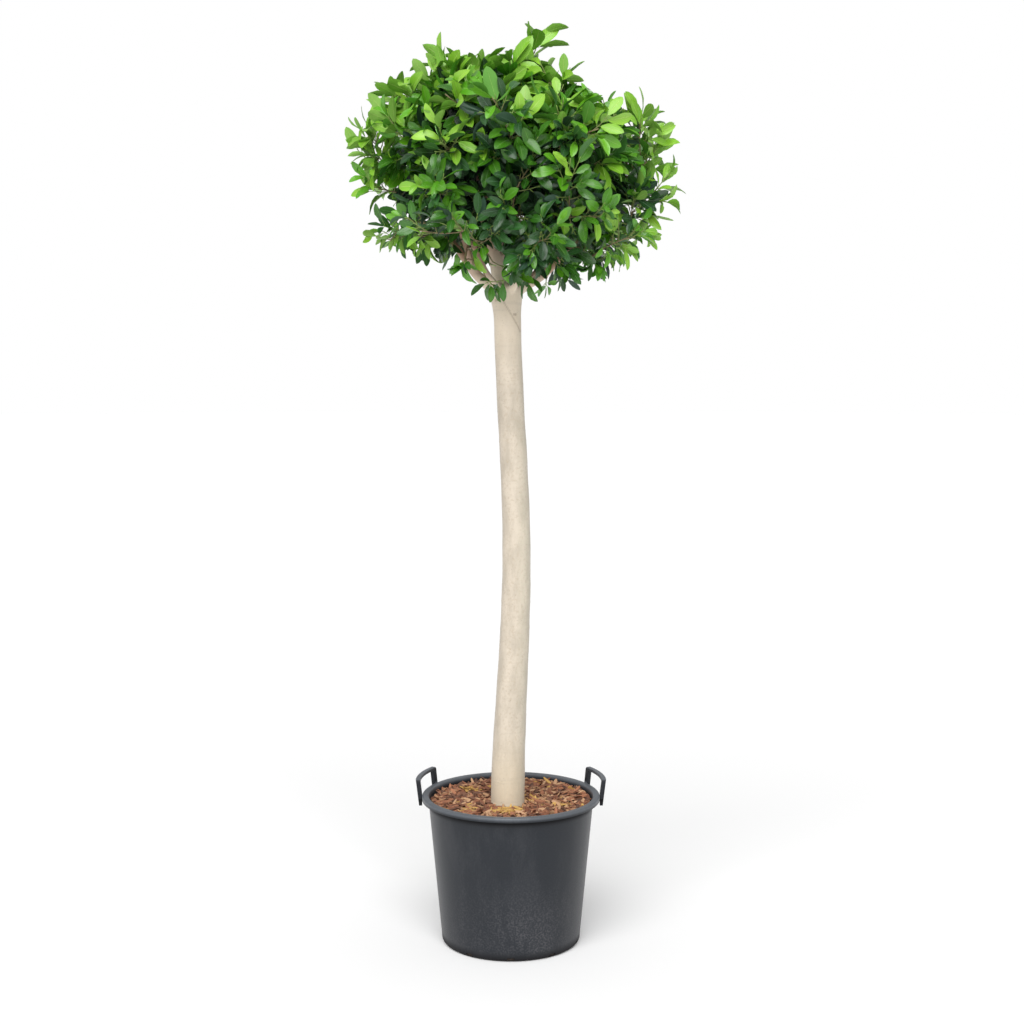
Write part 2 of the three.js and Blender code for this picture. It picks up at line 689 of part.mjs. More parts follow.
// A leaf by its corners: root, tip, two sides, and the thickest place of its upper face over
// the midrib. It points in a direction and turns its face outwards as far as that allows.
function makeLeaf(root, direction, outwards, length) {
  const along = direction.clone().normalize();
  const face = outwards.clone().addScaledVector(along, -outwards.dot(along)).normalize();
  const across = face.clone().cross(along);
  const at = (forward, sideways, lift) => root.clone().addScaledVector(along, forward)
    .addScaledVector(across, sideways).addScaledVector(face, lift);
  const half = (length * LEAF_WIDTH) / 2;
  return {
    length,
    root,
    tip: at(length, 0, 0),
    left: at(length * LEAF_WIDEST_AT, half, 0),
    right: at(length * LEAF_WIDEST_AT, -half, 0),
    top: at(length * LEAF_SWELL_AT, 0, LEAF_THICKNESS),
  };
}

// Whether a straight stretch passes through the blade of a leaf.
function meetsBlade(from, to, blade) {
  const hit = new THREE.Vector3();
  const ray = new THREE.Ray(from, to.clone().sub(from).normalize());
  return [blade.left, blade.right].some((side) => {
    const meets = ray.intersectTriangle(blade.root, side, blade.tip, false, hit);
    return meets !== null && hit.distanceTo(from) < from.distanceTo(to);
  });
}

// Whether the edges or the midrib of one leaf pass through the blade of another.
function edgesMeetBlade({ root, left, tip, right }, blade) {
  const edges = [[root, left], [left, tip], [tip, right], [right, root], [root, tip]];
  return edges.some(([from, to]) => meetsBlade(from, to, blade));
}

function leavesCross(one, other) {
  if (one.root.distanceTo(other.root) > one.length + other.length) return false;
  return edgesMeetBlade(one, other) || edgesMeetBlade(other, one);
}

function leafFits(leaf, mass, leader) {
  const corners = [leaf.tip, leaf.left, leaf.right, leaf.top];
  const inside = corners.every((corner) => roomInside(corner, mass) > LEAF_MARGIN);
  const within = leader || shareOfEllipsoid(leaf.tip, mass.centre, mass.radii) < 1;
  const midrib = LEAF_TESTS.map((along) => leaf.root.clone().lerp(leaf.tip, along));
  return inside && within && ![...corners, ...midrib].some((place) => touchesLimb(place, LIMB_CLEARANCE));
}

// A leaf is an octahedron whose corners are moved to the leaf's own. Its lowest corner goes to
// the tip, which leaves a flat back of two faces.
function leafSolid({ tip, left, right, top, root }) {
  const geometry = reshape(new THREE.OctahedronGeometry(1), ({ x, y, z }) => {
    if (Math.abs(x) > 0.5) return (x > 0 ? tip : root).clone();
    if (Math.abs(y) > 0.5) return (y > 0 ? left : right).clone();
    return (z > 0 ? top : tip).clone();
  }, FORK);
  return solid(geometry);
}

function foliage(mass, limbsWithClearance) {
  const bough = boughs.find((candidate) => candidate.mass === mass);
  const random = makeRandom(mass.seed);
  const twigs = growTwigs(mass, bough, random);
  const leaves = [];
  for (const twig of twigs.slice(1)) addShootLeaves(leaves, mass, twig, twigs, random);
  const whole = join([...twigs.map(twigSolid), ...leaves.map(leafSolid)]);
  return mainBody(whole.subtract(limbsWithClearance).simplify(SHORTEST_EDGE));
}

// Boughs are cut clear of the trunk and of the boughs before them. The room that all limbs
// take, with their clearance, comes back with them.
function boughSolids() {
  let taken = trunkSolid(GAP, FORK);
  const limbs = boughs.map(({ name, curve, radiusAt }) => {
    const shape = mainBody(limbSolid(curve, radiusAt, BOUGH_SIDES, BOUGH_RINGS).subtract(taken));
    taken = taken.add(limbSolid(curve, (t) => radiusAt(t) + GAP, BOUGH_SIDES, BOUGH_RINGS));
    return { name, shape };
  });
  return { limbs, taken };
}

function buildPot() {
  const group = new THREE.Group();
  group.add(named("pot", pot(), COLOURS.pot));
  group.add(named("pot_handle_right", handle(0, HANDLE_SPAN), COLOURS.pot));
  group.add(named("pot_handle_left", handle(180 - HANDLE_SPAN, 180), COLOURS.pot));
  group.add(named("potting_soil", pottingSoil(), COLOURS.soil));
  group.add(named("bark_mulch", barkMulch(), COLOURS.mulch));
  return group;
}

// The tree's solids are measured from the fork, and their group stands there.
function buildTree() {
  const group = new THREE.Group();
  group.position.copy(FORK);
  group.add(named("trunk", trunkSolid(0, FORK), COLOURS.bark));
  const { limbs, taken } = boughSolids();
  for (const { name, shape } of limbs) group.add(named(name, shape, COLOURS.bough));
  for (const mass of masses) group.add(named(mass.name, foliage(mass, taken), COLOURS.leaf));
  return group;
}

const tree = new THREE.Group();
tree.add(buildPot());
tree.add(buildTree());

export default tree;
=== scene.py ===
"""Looks of a potted evergreen standard: nursery pot, bark mulch, trunk, boughs, twigs, leaves.

Lengths are in millimetres and bearings in degrees, as in the part's source, and the mesh
builder turns them into metres. The origin is the centre of the pot's flat underside, +Z is
up, +X is the right of the tree and -Y is its front.
"""

import logging
from dataclasses import dataclass, field
from enum import Enum

import bpy
import numpy as np
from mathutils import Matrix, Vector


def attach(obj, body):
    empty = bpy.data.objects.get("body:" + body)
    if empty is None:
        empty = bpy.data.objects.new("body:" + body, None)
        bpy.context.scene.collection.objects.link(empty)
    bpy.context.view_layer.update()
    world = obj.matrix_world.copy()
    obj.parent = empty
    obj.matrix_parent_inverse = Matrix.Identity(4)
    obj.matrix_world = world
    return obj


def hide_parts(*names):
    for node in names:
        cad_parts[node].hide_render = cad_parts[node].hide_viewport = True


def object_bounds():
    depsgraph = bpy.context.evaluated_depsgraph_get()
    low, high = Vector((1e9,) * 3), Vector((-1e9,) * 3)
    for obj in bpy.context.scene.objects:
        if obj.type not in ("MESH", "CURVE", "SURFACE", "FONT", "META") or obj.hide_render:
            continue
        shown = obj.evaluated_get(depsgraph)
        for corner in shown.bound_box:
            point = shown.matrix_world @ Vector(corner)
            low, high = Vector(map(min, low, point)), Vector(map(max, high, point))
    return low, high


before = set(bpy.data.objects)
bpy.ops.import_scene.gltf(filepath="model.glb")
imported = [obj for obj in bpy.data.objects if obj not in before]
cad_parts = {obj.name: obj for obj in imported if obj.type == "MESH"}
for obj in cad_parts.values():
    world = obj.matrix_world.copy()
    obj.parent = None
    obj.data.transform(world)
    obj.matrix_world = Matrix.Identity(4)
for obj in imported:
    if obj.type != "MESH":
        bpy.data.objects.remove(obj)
SOLIDS_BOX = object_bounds()

Array = np.ndarray
Number = Array | float
Table = dict[str, Array]
Faces = list[list[int]]
Random = np.random.Generator
Mesh = bpy.types.Mesh
Node = bpy.types.Node
Tree = bpy.types.NodeTree
Material = bpy.types.Material
Socket = bpy.types.NodeSocket
Input = Socket | float | tuple
Pair = tuple[float, float]
Triple = tuple[float, float, float]
Row = tuple[float, ...]
Colour = tuple[float, float, float, float]

MM = 0.001
BODY = "root"
UP = np.array([0.0, 0.0, 1.0])
RIGHT = np.array([1.0, 0.0, 0.0])
GOLDEN_ANGLE = 2.39996
FULL_TURN = 6.283
HANDLE_SPAN = 30.5
STEEP = 0.9
LEAST_LENGTH = 1e-9
LOG = logging.getLogger("standard_tree")


def unit(vectors: Array) -> Array:
    """Vectors of length one: each is divided by its own length."""
    return vectors / np.maximum(np.linalg.norm(vectors, axis=-1, keepdims=True), LEAST_LENGTH)


def mix(first: Number, last: Number, share: Number) -> Number:
    """The value at a share of the way from first to last."""
    return first + (last - first) * share


def ease(values: Array, low: float, high: float) -> Array:
    """A smooth step from 0 at low to 1 at high: 3 s^2 - 2 s^3 of the share s between them."""
    share = np.clip((values - low) / (high - low), 0, 1)
    return share * share * (3 - 2 * share)


def swung(first: Array, second: Array, turn: Number) -> Array:
    """First swung towards second: cosine of the turn times first, plus sine times second."""
    turn = np.asarray(turn)[..., None]
    return first * np.cos(turn) + second * np.sin(turn)


def on_circle(bearing: Number, radius: Number, height: Number) -> Array:
    """Places round the Z axis: radius times cosine and sine of the bearing, and the height."""
    turn = np.radians(bearing)
    return np.stack(np.broadcast_arrays(radius * np.cos(turn), radius * np.sin(turn), height), -1)


def across(directions: Array) -> tuple[Array, Array]:
    """Two directions square to each: its cross product with up, or right if steep, and with that."""
    helper = np.where(np.abs(directions[..., 2:]) > STEEP, RIGHT, UP)
    side = unit(np.cross(directions, helper))
    return side, np.cross(directions, side)


class Slot(Enum):
    """Names of material slots."""

    POT = "pot_plastic"
    SOIL = "soil"
    MULCH = "mulch"
    BARK = "bark"
    LEAF = "leaf"


@dataclass
class Shape:
    """A mesh in the making, with its places in millimetres.

    Faces run counterclockwise as seen from outside, and uv from 0 to 1 along and across.
    Values are named numbers for each corner, sharp says which corners lie on a sharp edge,
    and second which faces take the second finish.
    """

    places: Array
    faces: Faces
    uv: Array | None = None
    values: Table = field(default_factory=dict)
    sharp: Array | None = None
    second: Array | None = None

    def mesh(self, name: str) -> Mesh:
        """Makes the smooth shaded Blender mesh, in metres, with its attributes."""
        mesh = bpy.data.meshes.new(name)
        mesh.from_pydata(self.places * MM, [], self.faces)
        mesh.polygons.foreach_set("use_smooth", np.ones(len(mesh.polygons), bool))
        corners = np.empty(len(mesh.loops), np.int32)
        mesh.loops.foreach_get("vertex_index", corners)
        if self.uv is not None:
            layer = mesh.uv_layers.new(name="surface")
            layer.uv.foreach_set("vector", self.uv[corners].astype(np.float32).ravel())
        mark_corners(mesh, self.values)
        if self.sharp is not None:
            ends = np.empty(2 * len(mesh.edges), np.int32)
            mesh.edges.foreach_get("vertices", ends)
            creased = self.sharp[ends].reshape(-1, 2).all(1)
            mesh.attributes.new("sharp_edge", "BOOLEAN", "EDGE").data.foreach_set("value", creased)
        if self.second is not None:
            mesh.polygons.foreach_set("material_index", self.second.astype(np.int32))
        return mesh


def mark_corners(mesh: Mesh, values: Table) -> None:
    """Gives a mesh's corners their named numbers."""
    for label, numbers in values.items():
        attribute = mesh.attributes.new(label, "FLOAT", "POINT")
        attribute.data.foreach_set("value", numbers.astype(np.float32))


def add_object(name: str, data: bpy.types.ID) -> bpy.types.Object:
    """Puts a mesh, camera or light into the scene as an object at the origin."""
    thing = bpy.data.objects.new(name, data)
    bpy.context.scene.collection.objects.link(thing)
    return thing


def add_piece(name: str, mesh: Mesh, slot: Slot, nodes: list[str], *finishes: Material) -> None:
    """Makes a mesh a dressed piece, and says what it rides on, stands for and is made of.

    Args:
        name: The piece's name.
        mesh: Its mesh.
        slot: A material slot; not used.
        nodes: Names of the solids that it stands for.
        finishes: Its materials, in the order of its faces' numbers.
    """
    piece = add_object(name, mesh)
    for finish in finishes:
        mesh.materials.append(finish)
    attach(piece, BODY)
    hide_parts(*nodes)
    LOG.info("%s: %d faces for %s", name, len(mesh.polygons), ", ".join(nodes))


def with_modifiers_applied(thing: bpy.types.Object) -> Mesh:
    """Replaces an object by its mesh as its modifiers leave it.

    Args:
        thing: The object, which is removed.

    Returns:
        The finished mesh.
    """
    bpy.context.view_layer.update()
    finished = thing.evaluated_get(bpy.context.evaluated_depsgraph_get())
    mesh = bpy.data.meshes.new_from_object(finished)
    bpy.data.objects.remove(thing)
    return mesh


def mesh_places(mesh: Mesh) -> Array:
    """Corner places of a mesh, in millimetres."""
    places = np.empty(3 * len(mesh.vertices), np.float32)
    mesh.vertices.foreach_get("co", places)
    return places.reshape(-1, 3) / MM


def grid_faces(rows: int, columns: int, closed: bool) -> Array:
    """Quads of a grid of corners numbered row by row.

    Args:
        rows: Number of rows.
        columns: Corners in a row.
        closed: Whether each row is closed to a ring.

    Returns:
        Four corner numbers for each quad.
    """
    quads = columns if closed else columns - 1
    row, column = np.meshgrid(np.arange(rows - 1), np.arange(quads), indexing="ij")
    beside = (column + 1) % columns
    below, above = row * columns, (row + 1) * columns
    return np.stack([below + column, below + beside, above + beside, above + column], -1).reshape(-1, 4)


def grid_uv(along: Array, over: Array) -> Array:
    """Shares along and across the surface for a grid of corners, row by row."""
    return np.stack(np.broadcast_arrays(along[:, None], over), -1).reshape(-1, 2)


def repeated(faces: Array, count: int, corners: int) -> Faces:
    """The same faces for a number of copies, each with so many corners."""
    return (faces[None] + corners * np.arange(count)[:, None, None]).reshape(-1, faces.shape[1]).tolist()


def tubes(paths: Array, radii: Array, sides: int) -> Shape:
    """Closed round tubes along many paths: path plus radius times a circle across it.

    Args:
        paths: Places along each path, as (path, step, 3).
        radii: The tube's radius at each place, as (path, step).
        sides: Corners round each ring.

    Returns:
        The tubes, with uv along and round each.
    """
    count, steps, _ = paths.shape
    forward = unit(np.gradient(paths, axis=1))
    helper = np.where(np.abs(unit(paths[:, -1] - paths[:, 0])[:, None, 2:]) > STEEP, RIGHT, UP)
    side = unit(np.cross(forward, helper))
    front = np.cross(forward, side)
    turn = 2 * np.pi * np.arange(sides) / sides
    ring = swung(side[:, :, None], front[:, :, None], turn)
    places = paths[:, :, None] + ring * radii[:, :, None, None]
    quads = repeated(grid_faces(steps, sides, True), count, steps * sides)
    first = repeated(np.arange(sides)[None, ::-1], count, steps * sides)
    last = repeated((steps - 1) * sides + np.arange(sides)[None], count, steps * sides)
    uv = np.tile(grid_uv(np.linspace(0, 1, steps), turn / (2 * np.pi)), (count, 1))
    return Shape(places.reshape(-1, 3), quads + first + last, uv)


def turned(outline: Array, segments: int) -> Shape:
    """A closed solid of revolution: each outline point carried round the Z axis.

    Args:
        outline: Radius and height of each point, from axis to axis.
        segments: Steps round the axis.

    Returns:
        The solid, with one corner at each end on the axis.
    """
    bearing = 360 * np.arange(segments) / segments
    inner = outline[1:-1]
    rings = on_circle(bearing[None], inner[:, :1], inner[:, 1:])
    ends = [[0, 0, outline[0, 1]], [0, 0, outline[-1, 1]]]
    places = np.vstack([rings.reshape(-1, 3), ends])
    first, last = len(places) - 2, len(places) - 1
    here, beside = np.arange(segments), (np.arange(segments) + 1) % segments
    above = (len(inner) - 1) * segments
    faces = grid_faces(len(inner), segments, True).tolist()
    faces += np.stack([beside, here, np.full(segments, first)], -1).tolist()
    faces += np.stack([above + here, above + beside, np.full(segments, last)], -1).tolist()
    return Shape(places, faces)


def arc(centre: Pair, radius: float, start: float, end: float, steps: int) -> Array:
    """Points of a circle's arc from one bearing to another, for an outline."""
    turn = np.radians(np.linspace(start, end, steps + 1))
    return np.stack([centre[0] + radius * np.cos(turn), centre[1] + radius * np.sin(turn)], -1)


class Graph:
    """Adds shader nodes to a tree, each with its settings and inputs."""

    def __init__(self, tree: Tree) -> None:
        """Keeps the tree that the nodes go into."""
        self.tree = tree

    def add(self, kind: str, inputs: dict[str | int, Input] | None = None, **settings: object) -> Node:
        """Adds one node.

        Args:
            kind: The node's type, without its common prefix.
            inputs: For an input's name or number, its value or the socket that feeds it.
            settings: The node's own settings.

        Returns:
            The node.
        """
        node = self.tree.nodes.new("ShaderNode" + kind)
        for name, value in settings.items():
            setattr(node, name, value)
        for name, value in (inputs or {}).items():
            if isinstance(value, Socket):
                self.tree.links.new(value, node.inputs[name])
            else:
                node.inputs[name].default_value = value
        return node

    def math(self, operation: str, *values: Input) -> Socket:
        """The result of one arithmetic step."""
        return self.add("Math", dict(enumerate(values)), operation=operation).outputs[0]

    def times(self, first: Input, second: Input) -> Socket:
        """The product of two numbers."""
        return self.math("MULTIPLY", first, second)

    def line(self, value: Input, slope: Input, start: Input) -> Socket:
        """A straight line of a value: the value times the slope, plus the start."""
        return self.math("MULTIPLY_ADD", value, slope, start)

    def blend(self, share: Input, first: Input, last: Input) -> Socket:
        """A colour at a share of the way from first to last."""
        return self.add("Mix", {0: share, 6: first, 7: last}, data_type="RGBA").outputs[2]

    def ramp(self, value: Input, low: Input, high: Input, start: float = 0.0, end: float = 1.0) -> Socket:
        """A smooth step of a value from start at low to end at high."""
        inputs = {"Value": value, 1: low, 2: high, 3: start, 4: end}
        return self.add("MapRange", inputs, interpolation_type="SMOOTHSTEP").outputs[0]

    def place(self) -> Socket:
        """Object coordinates, in metres."""
        return self.add("TexCoord").outputs["Object"]

    def surface(self) -> Socket:
        """The piece's own uv: shares along and across."""
        return self.add("UVMap").outputs[0]

    def value(self, label: str) -> Socket:
        """A named number of the mesh's corners."""
        return self.add("Attribute", attribute_name=label).outputs["Fac"]

    def parts(self, vector: Input) -> list[Socket]:
        """The three numbers of a vector."""
        return list(self.add("SeparateXYZ", {0: vector}).outputs)

    def stretched(self, vector: Input, scale: Triple) -> Socket:
        """Coordinates multiplied by a number along each axis."""
        return self.add("Mapping", {"Vector": vector, "Scale": scale}).outputs[0]

    def noise(self, vector: Input, scale: Input, detail: float = 3.0) -> Socket:
        """Cloudy noise from 0 to 1."""
        return self.add("TexNoise", {"Vector": vector, "Scale": scale, "Detail": detail}).outputs["Fac"]

    def bump(self, height: Input, depth: float, normal: Socket | None = None) -> Socket:
        """A normal, or the given one, tilted by a height from 0 to 1 that is so many mm deep."""
        inputs = {"Height": height, "Distance": depth * MM, "Strength": 1.0}
        if normal is not None:
            inputs["Normal"] = normal
        return self.add("Bump", inputs).outputs[0]

    def mottle(self, vector: Input, **scales: float) -> tuple[Socket, Socket]:
        """Patches and grain of the group of that name, with the material's own scales."""
        node = self.add("Group", {"Vector": vector, **scales}, node_tree=MOTTLE)
        return node.outputs["Patches"], node.outputs["Grain"]

    def veins(self, pairs: float) -> tuple[Socket, Socket, Socket]:
        """Midrib, side veins and height of the group of that name."""
        node = self.add("Group", {"Surface": self.surface(), "Pairs": pairs}, node_tree=VEINS)
        return tuple(node.outputs)


def new_group(name: str, inputs: dict[str, float | None]) -> tuple[Graph, dict[str, Socket]]:
    """Starts a shader node group.

    Args:
        name: The group's name.
        inputs: The value of each input that is a number, and None for a vector.

    Returns:
        The group's graph, and the sockets that its inputs come from.
    """
    tree = bpy.data.node_groups.new(name, "ShaderNodeTree")
    for label, value in inputs.items():
        kind = "NodeSocketVector" if value is None else "NodeSocketFloat"
        socket = tree.interface.new_socket(label, in_out="INPUT", socket_type=kind)
        if value is not None:
            socket.default_value = value
    start = tree.nodes.new("NodeGroupInput")
    return Graph(tree), {label: start.outputs[label] for label in inputs}


def finished_group(graph: Graph, **outputs: Socket) -> Tree:
    """Ends a shader node group, whose outputs are numbers from the given sockets."""
    for label in outputs:
        graph.tree.interface.new_socket(label, in_out="OUTPUT", socket_type="NodeSocketFloat")
    end = graph.tree.nodes.new("NodeGroupOutput")
    for label, socket in outputs.items():
        graph.tree.links.new(socket, end.inputs[label])
    return graph.tree


def mottle_group() -> Tree:
    """Patches of two sizes: broad clouds broken up by fine grain.

    Returns:
        A group with the inputs Vector, Broad and Fine, the scales of the two noises, and Low
        and High, between which clouds turn full. Its outputs are Patches and Grain.
    """
    breaking = 0.2
    inputs = {"Vector": None, "Broad": 6.0, "Fine": 120.0, "Low": 0.4, "High": 0.65}
    graph, given = new_group("mottle", inputs)
    clouds = graph.noise(given["Vector"], given["Broad"], detail=4.0)
    grain = graph.noise(given["Vector"], given["Fine"], detail=2.0)
    broken = graph.line(grain, breaking, graph.math("SUBTRACT", clouds, breaking / 2))
    return finished_group(graph, Patches=graph.ramp(broken, given["Low"], given["High"]), Grain=grain)


def vein_group() -> Tree:
    """Midrib and side veins of a leaf blade, from its own uv.

    The midrib is a band where the share across is near a half, narrower towards the tip.
    Side veins are a wave of the share along less the distance from the midrib.

    Returns:
        A group with the inputs Surface and Pairs, the number of side veins, and the outputs
        Midrib, Veins and Height.
    """
    root_width, tip_width = 0.04, 0.02
    lean = 0.55
    midrib_depth, vein_depth = 0.8, 0.35
    graph, given = new_group("veins", {"Surface": None, "Pairs": 9.0})
    along, over, _ = graph.parts(given["Surface"])
    away = graph.math("ABSOLUTE", graph.math("SUBTRACT", over, 0.5))
    width = graph.line(along, tip_width - root_width, root_width)
    midrib = graph.math("SUBTRACT", 1.0, graph.ramp(graph.math("DIVIDE", away, width), 0.3, 1.2))
    slant = graph.line(away, -lean, along)
    wave = graph.math("SINE", graph.times(slant, graph.times(given["Pairs"], FULL_TURN)))
    veins = graph.ramp(wave, 0.8, 1.0)
    height = graph.line(midrib, -midrib_depth, graph.times(veins, -vein_depth))
    return finished_group(graph, Midrib=midrib, Veins=veins, Height=height)


MOTTLE = mottle_group()
VEINS = vein_group()


def rgb(red: float, green: float, blue: float) -> Colour:
    """A colour in linear light."""
    return (red, green, blue, 1.0)


def new_material(name: str, **sockets: float | Colour) -> tuple[Material, Graph, Node]:
    """Starts a material with one Principled shader.

    Args:
        name: The material's name.
        sockets: Values of the shader's own sockets, with _ for a space in their names.

    Returns:
        The material, its graph and its shader.
    """
    material = bpy.data.materials.new(name)
    material.use_nodes = True
    shader = material.node_tree.nodes["Principled BSDF"]
    for label, value in sockets.items():
        shader.inputs[label.replace("_", " ")].default_value = value
    return material, Graph(material.node_tree), shader


def feed(graph: Graph, shader: Node, **sockets: Socket) -> None:
    """Links sockets to the shader's inputs of the same names, with _ for a space."""
    for label, socket in sockets.items():
        graph.tree.links.new(socket, shader.inputs[label.replace("_", " ")])


@dataclass(frozen=True)
class PlasticFinish:
    """Moulded black plastic, dusty and scuffed over its lower half."""

    name: str = "pot_plastic"
    black: Colour = rgb(0.006, 0.008, 0.012)
    dust: Colour = rgb(0.105, 0.100, 0.105)
    # Paler grey of the rim and bar tops: partly wearing, partly a painted highlight.
    worn_lit_grey: Colour = rgb(0.105, 0.115, 0.130)
    # Near black of the painted shade in the slots, under the lip and at the foot.
    painted_shade_black: Colour = rgb(0.003, 0.003, 0.004)
    dust_top: float = 260
    # Below this height the dust thins and the foot is darkened as painted shade.
    clean_shaded_foot: float = 34
    # Heights over which the lip turns paler, from wearing and a painted highlight on its upper face.
    worn_and_lit: Pair = (403, 412)
    lip_radius: float = 249
    bar: float = 456
    # Heights over which the painted shade under the lip grows.
    shade: Pair = (377, 397)
    under_lip: Pair = (401, 402.5)
    sunk: Pair = (1.6, 0.6)

    def material(self) -> Material:
        """Speckled dust, drawn-out scuffs, painted shade in the slots, under the lip and at the
        foot, and a rim paler from wearing and from a painted highlight.

        Returns:
            The material.
        """
        material, graph, shader = new_material(self.name, Specular_IOR_Level=0.27, Sheen_Weight=0.03)
        place = graph.place()
        height = graph.parts(place)[2]
        flat = graph.stretched(place, (1, 1, 0))
        radius = graph.add("VectorMath", {0: flat}, operation="LENGTH").outputs["Value"]
        drawn_out = graph.stretched(place, (1, 1, 0.3))
        scuffs, _ = graph.mottle(drawn_out, Broad=14.0, Fine=260.0, Low=0.42, High=0.62)
        specks, grain = graph.mottle(place, Broad=210.0, Fine=560.0, Low=0.4, High=0.7)
        film = self.film(graph, height, scuffs, specks)
        # Painted shade: the slot recesses, close under the lip, and the foot.
        dark = self.painted_shade(graph, height, radius)
        dusty = graph.blend(film, self.black, self.dust)
        # Paler rim and bar tops: partly wearing, partly a painted highlight where the light falls on them.
        worn_and_lit = graph.blend(self.wear_and_highlight(graph, height, radius, scuffs), dusty, self.worn_lit_grey)
        rough = graph.line(dark, 0.5, graph.line(film, 0.35, 0.38))
        # The blend towards near black is painted shade.
        feed(graph, shader, Base_Color=graph.blend(dark, worn_and_lit, self.painted_shade_black), Roughness=rough,
             Normal=graph.bump(grain, 0.25))
        return material

    def film(self, graph: Graph, height: Socket, scuffs: Socket, specks: Socket) -> Socket:
        """How thick the dust is: specks times scuffs, less of both higher up and at the foot."""
        low = graph.ramp(height, self.dust_top * MM, 0.04, 0.12, 1.0)
        low = graph.times(low, graph.ramp(height, 0.0, self.clean_shaded_foot * MM, 0.1, 1.0))
        specked = graph.times(graph.times(graph.line(scuffs, 0.6, 0.4), specks), low)
        return graph.line(scuffs, 0.05, graph.line(low, 0.02, graph.times(specked, 0.40)))

    def wear_and_highlight(self, graph: Graph, height: Socket, radius: Socket, scuffs: Socket) -> Socket:
        """Wearing and a painted highlight: the lip's upper part or the handles' bars, broken by the scuffs.
        """
        lip = graph.ramp(radius, (self.lip_radius - 0.2) * MM, (self.lip_radius + 0.2) * MM, 1.0, 0.0)
        rim = graph.times(lip, graph.ramp(height, self.worn_and_lit[0] * MM, self.worn_and_lit[1] * MM, 0.1, 1.0))
        bar = graph.ramp(height, (self.bar - 1) * MM, (self.bar + 1) * MM)
        return graph.times(graph.math("MAXIMUM", rim, bar), graph.line(scuffs, 0.2, 0.8))

    def painted_shade(self, graph: Graph, height: Socket, radius: Socket) -> Socket:
        """How much painted shade it has: in the slot recesses and close under the lip, and at the foot."""
        wall = graph.line(height, -Pot.flare, radius)
        deep, shallow = ((Pot.ground_radius - depth) * MM for depth in self.sunk)
        sunk = graph.ramp(wall, deep, shallow, 1.0, 0.0)
        shade = graph.ramp(height, self.shade[0] * MM, self.shade[1] * MM)
        below = graph.ramp(height, self.under_lip[0] * MM, self.under_lip[1] * MM, 1.0, 0.0)
        foot = graph.ramp(height, 0.0, self.clean_shaded_foot * MM, 1.0, 0.0)
        return graph.math("MAXIMUM", graph.times(graph.math("MAXIMUM", sunk, shade), below), foot)


@dataclass(frozen=True)
class EarthFinish:
    """Damp dark soil or the dark bed under the mulch."""

    name: str
    dark: Colour
    light: Colour

    def material(self) -> Material:
        """Crumbs of two sizes, raised over dark hollows.

        Returns:
            The material.
        """
        material, graph, shader = new_material(self.name)
        crumbs, grain = graph.mottle(graph.place(), Broad=90.0, Fine=330.0, Low=0.35, High=0.62)
        feed(graph, shader, Base_Color=graph.blend(crumbs, self.dark, self.light),
             Roughness=graph.ramp(grain, 0.2, 0.9, 0.8, 0.97), Normal=graph.bump(crumbs, 2.0))
        return material


@dataclass(frozen=True)
class ChipFinish:
    """Dry bark chips of one colour."""

    name: str
    dark: Colour
    light: Colour
    share: float

    def material(self) -> Material:
        """A tone for each chip, with fibres drawn out along it.

        Returns:
            The material.
        """
        material, graph, shader = new_material(self.name)
        fibre = graph.stretched(graph.surface(), (1.0, 9.0, 1.0))
        fibres, grain = graph.mottle(fibre, Broad=3.0, Fine=22.0, Low=0.35, High=0.65)
        tone = graph.times(graph.line(fibres, 0.45, graph.value("tone")), 0.69)
        feed(graph, shader, Base_Color=graph.blend(tone, self.dark, self.light),
             Roughness=graph.ramp(grain, 0.2, 0.9, 0.68, 0.92), Normal=graph.bump(grain, 0.8))
        return material


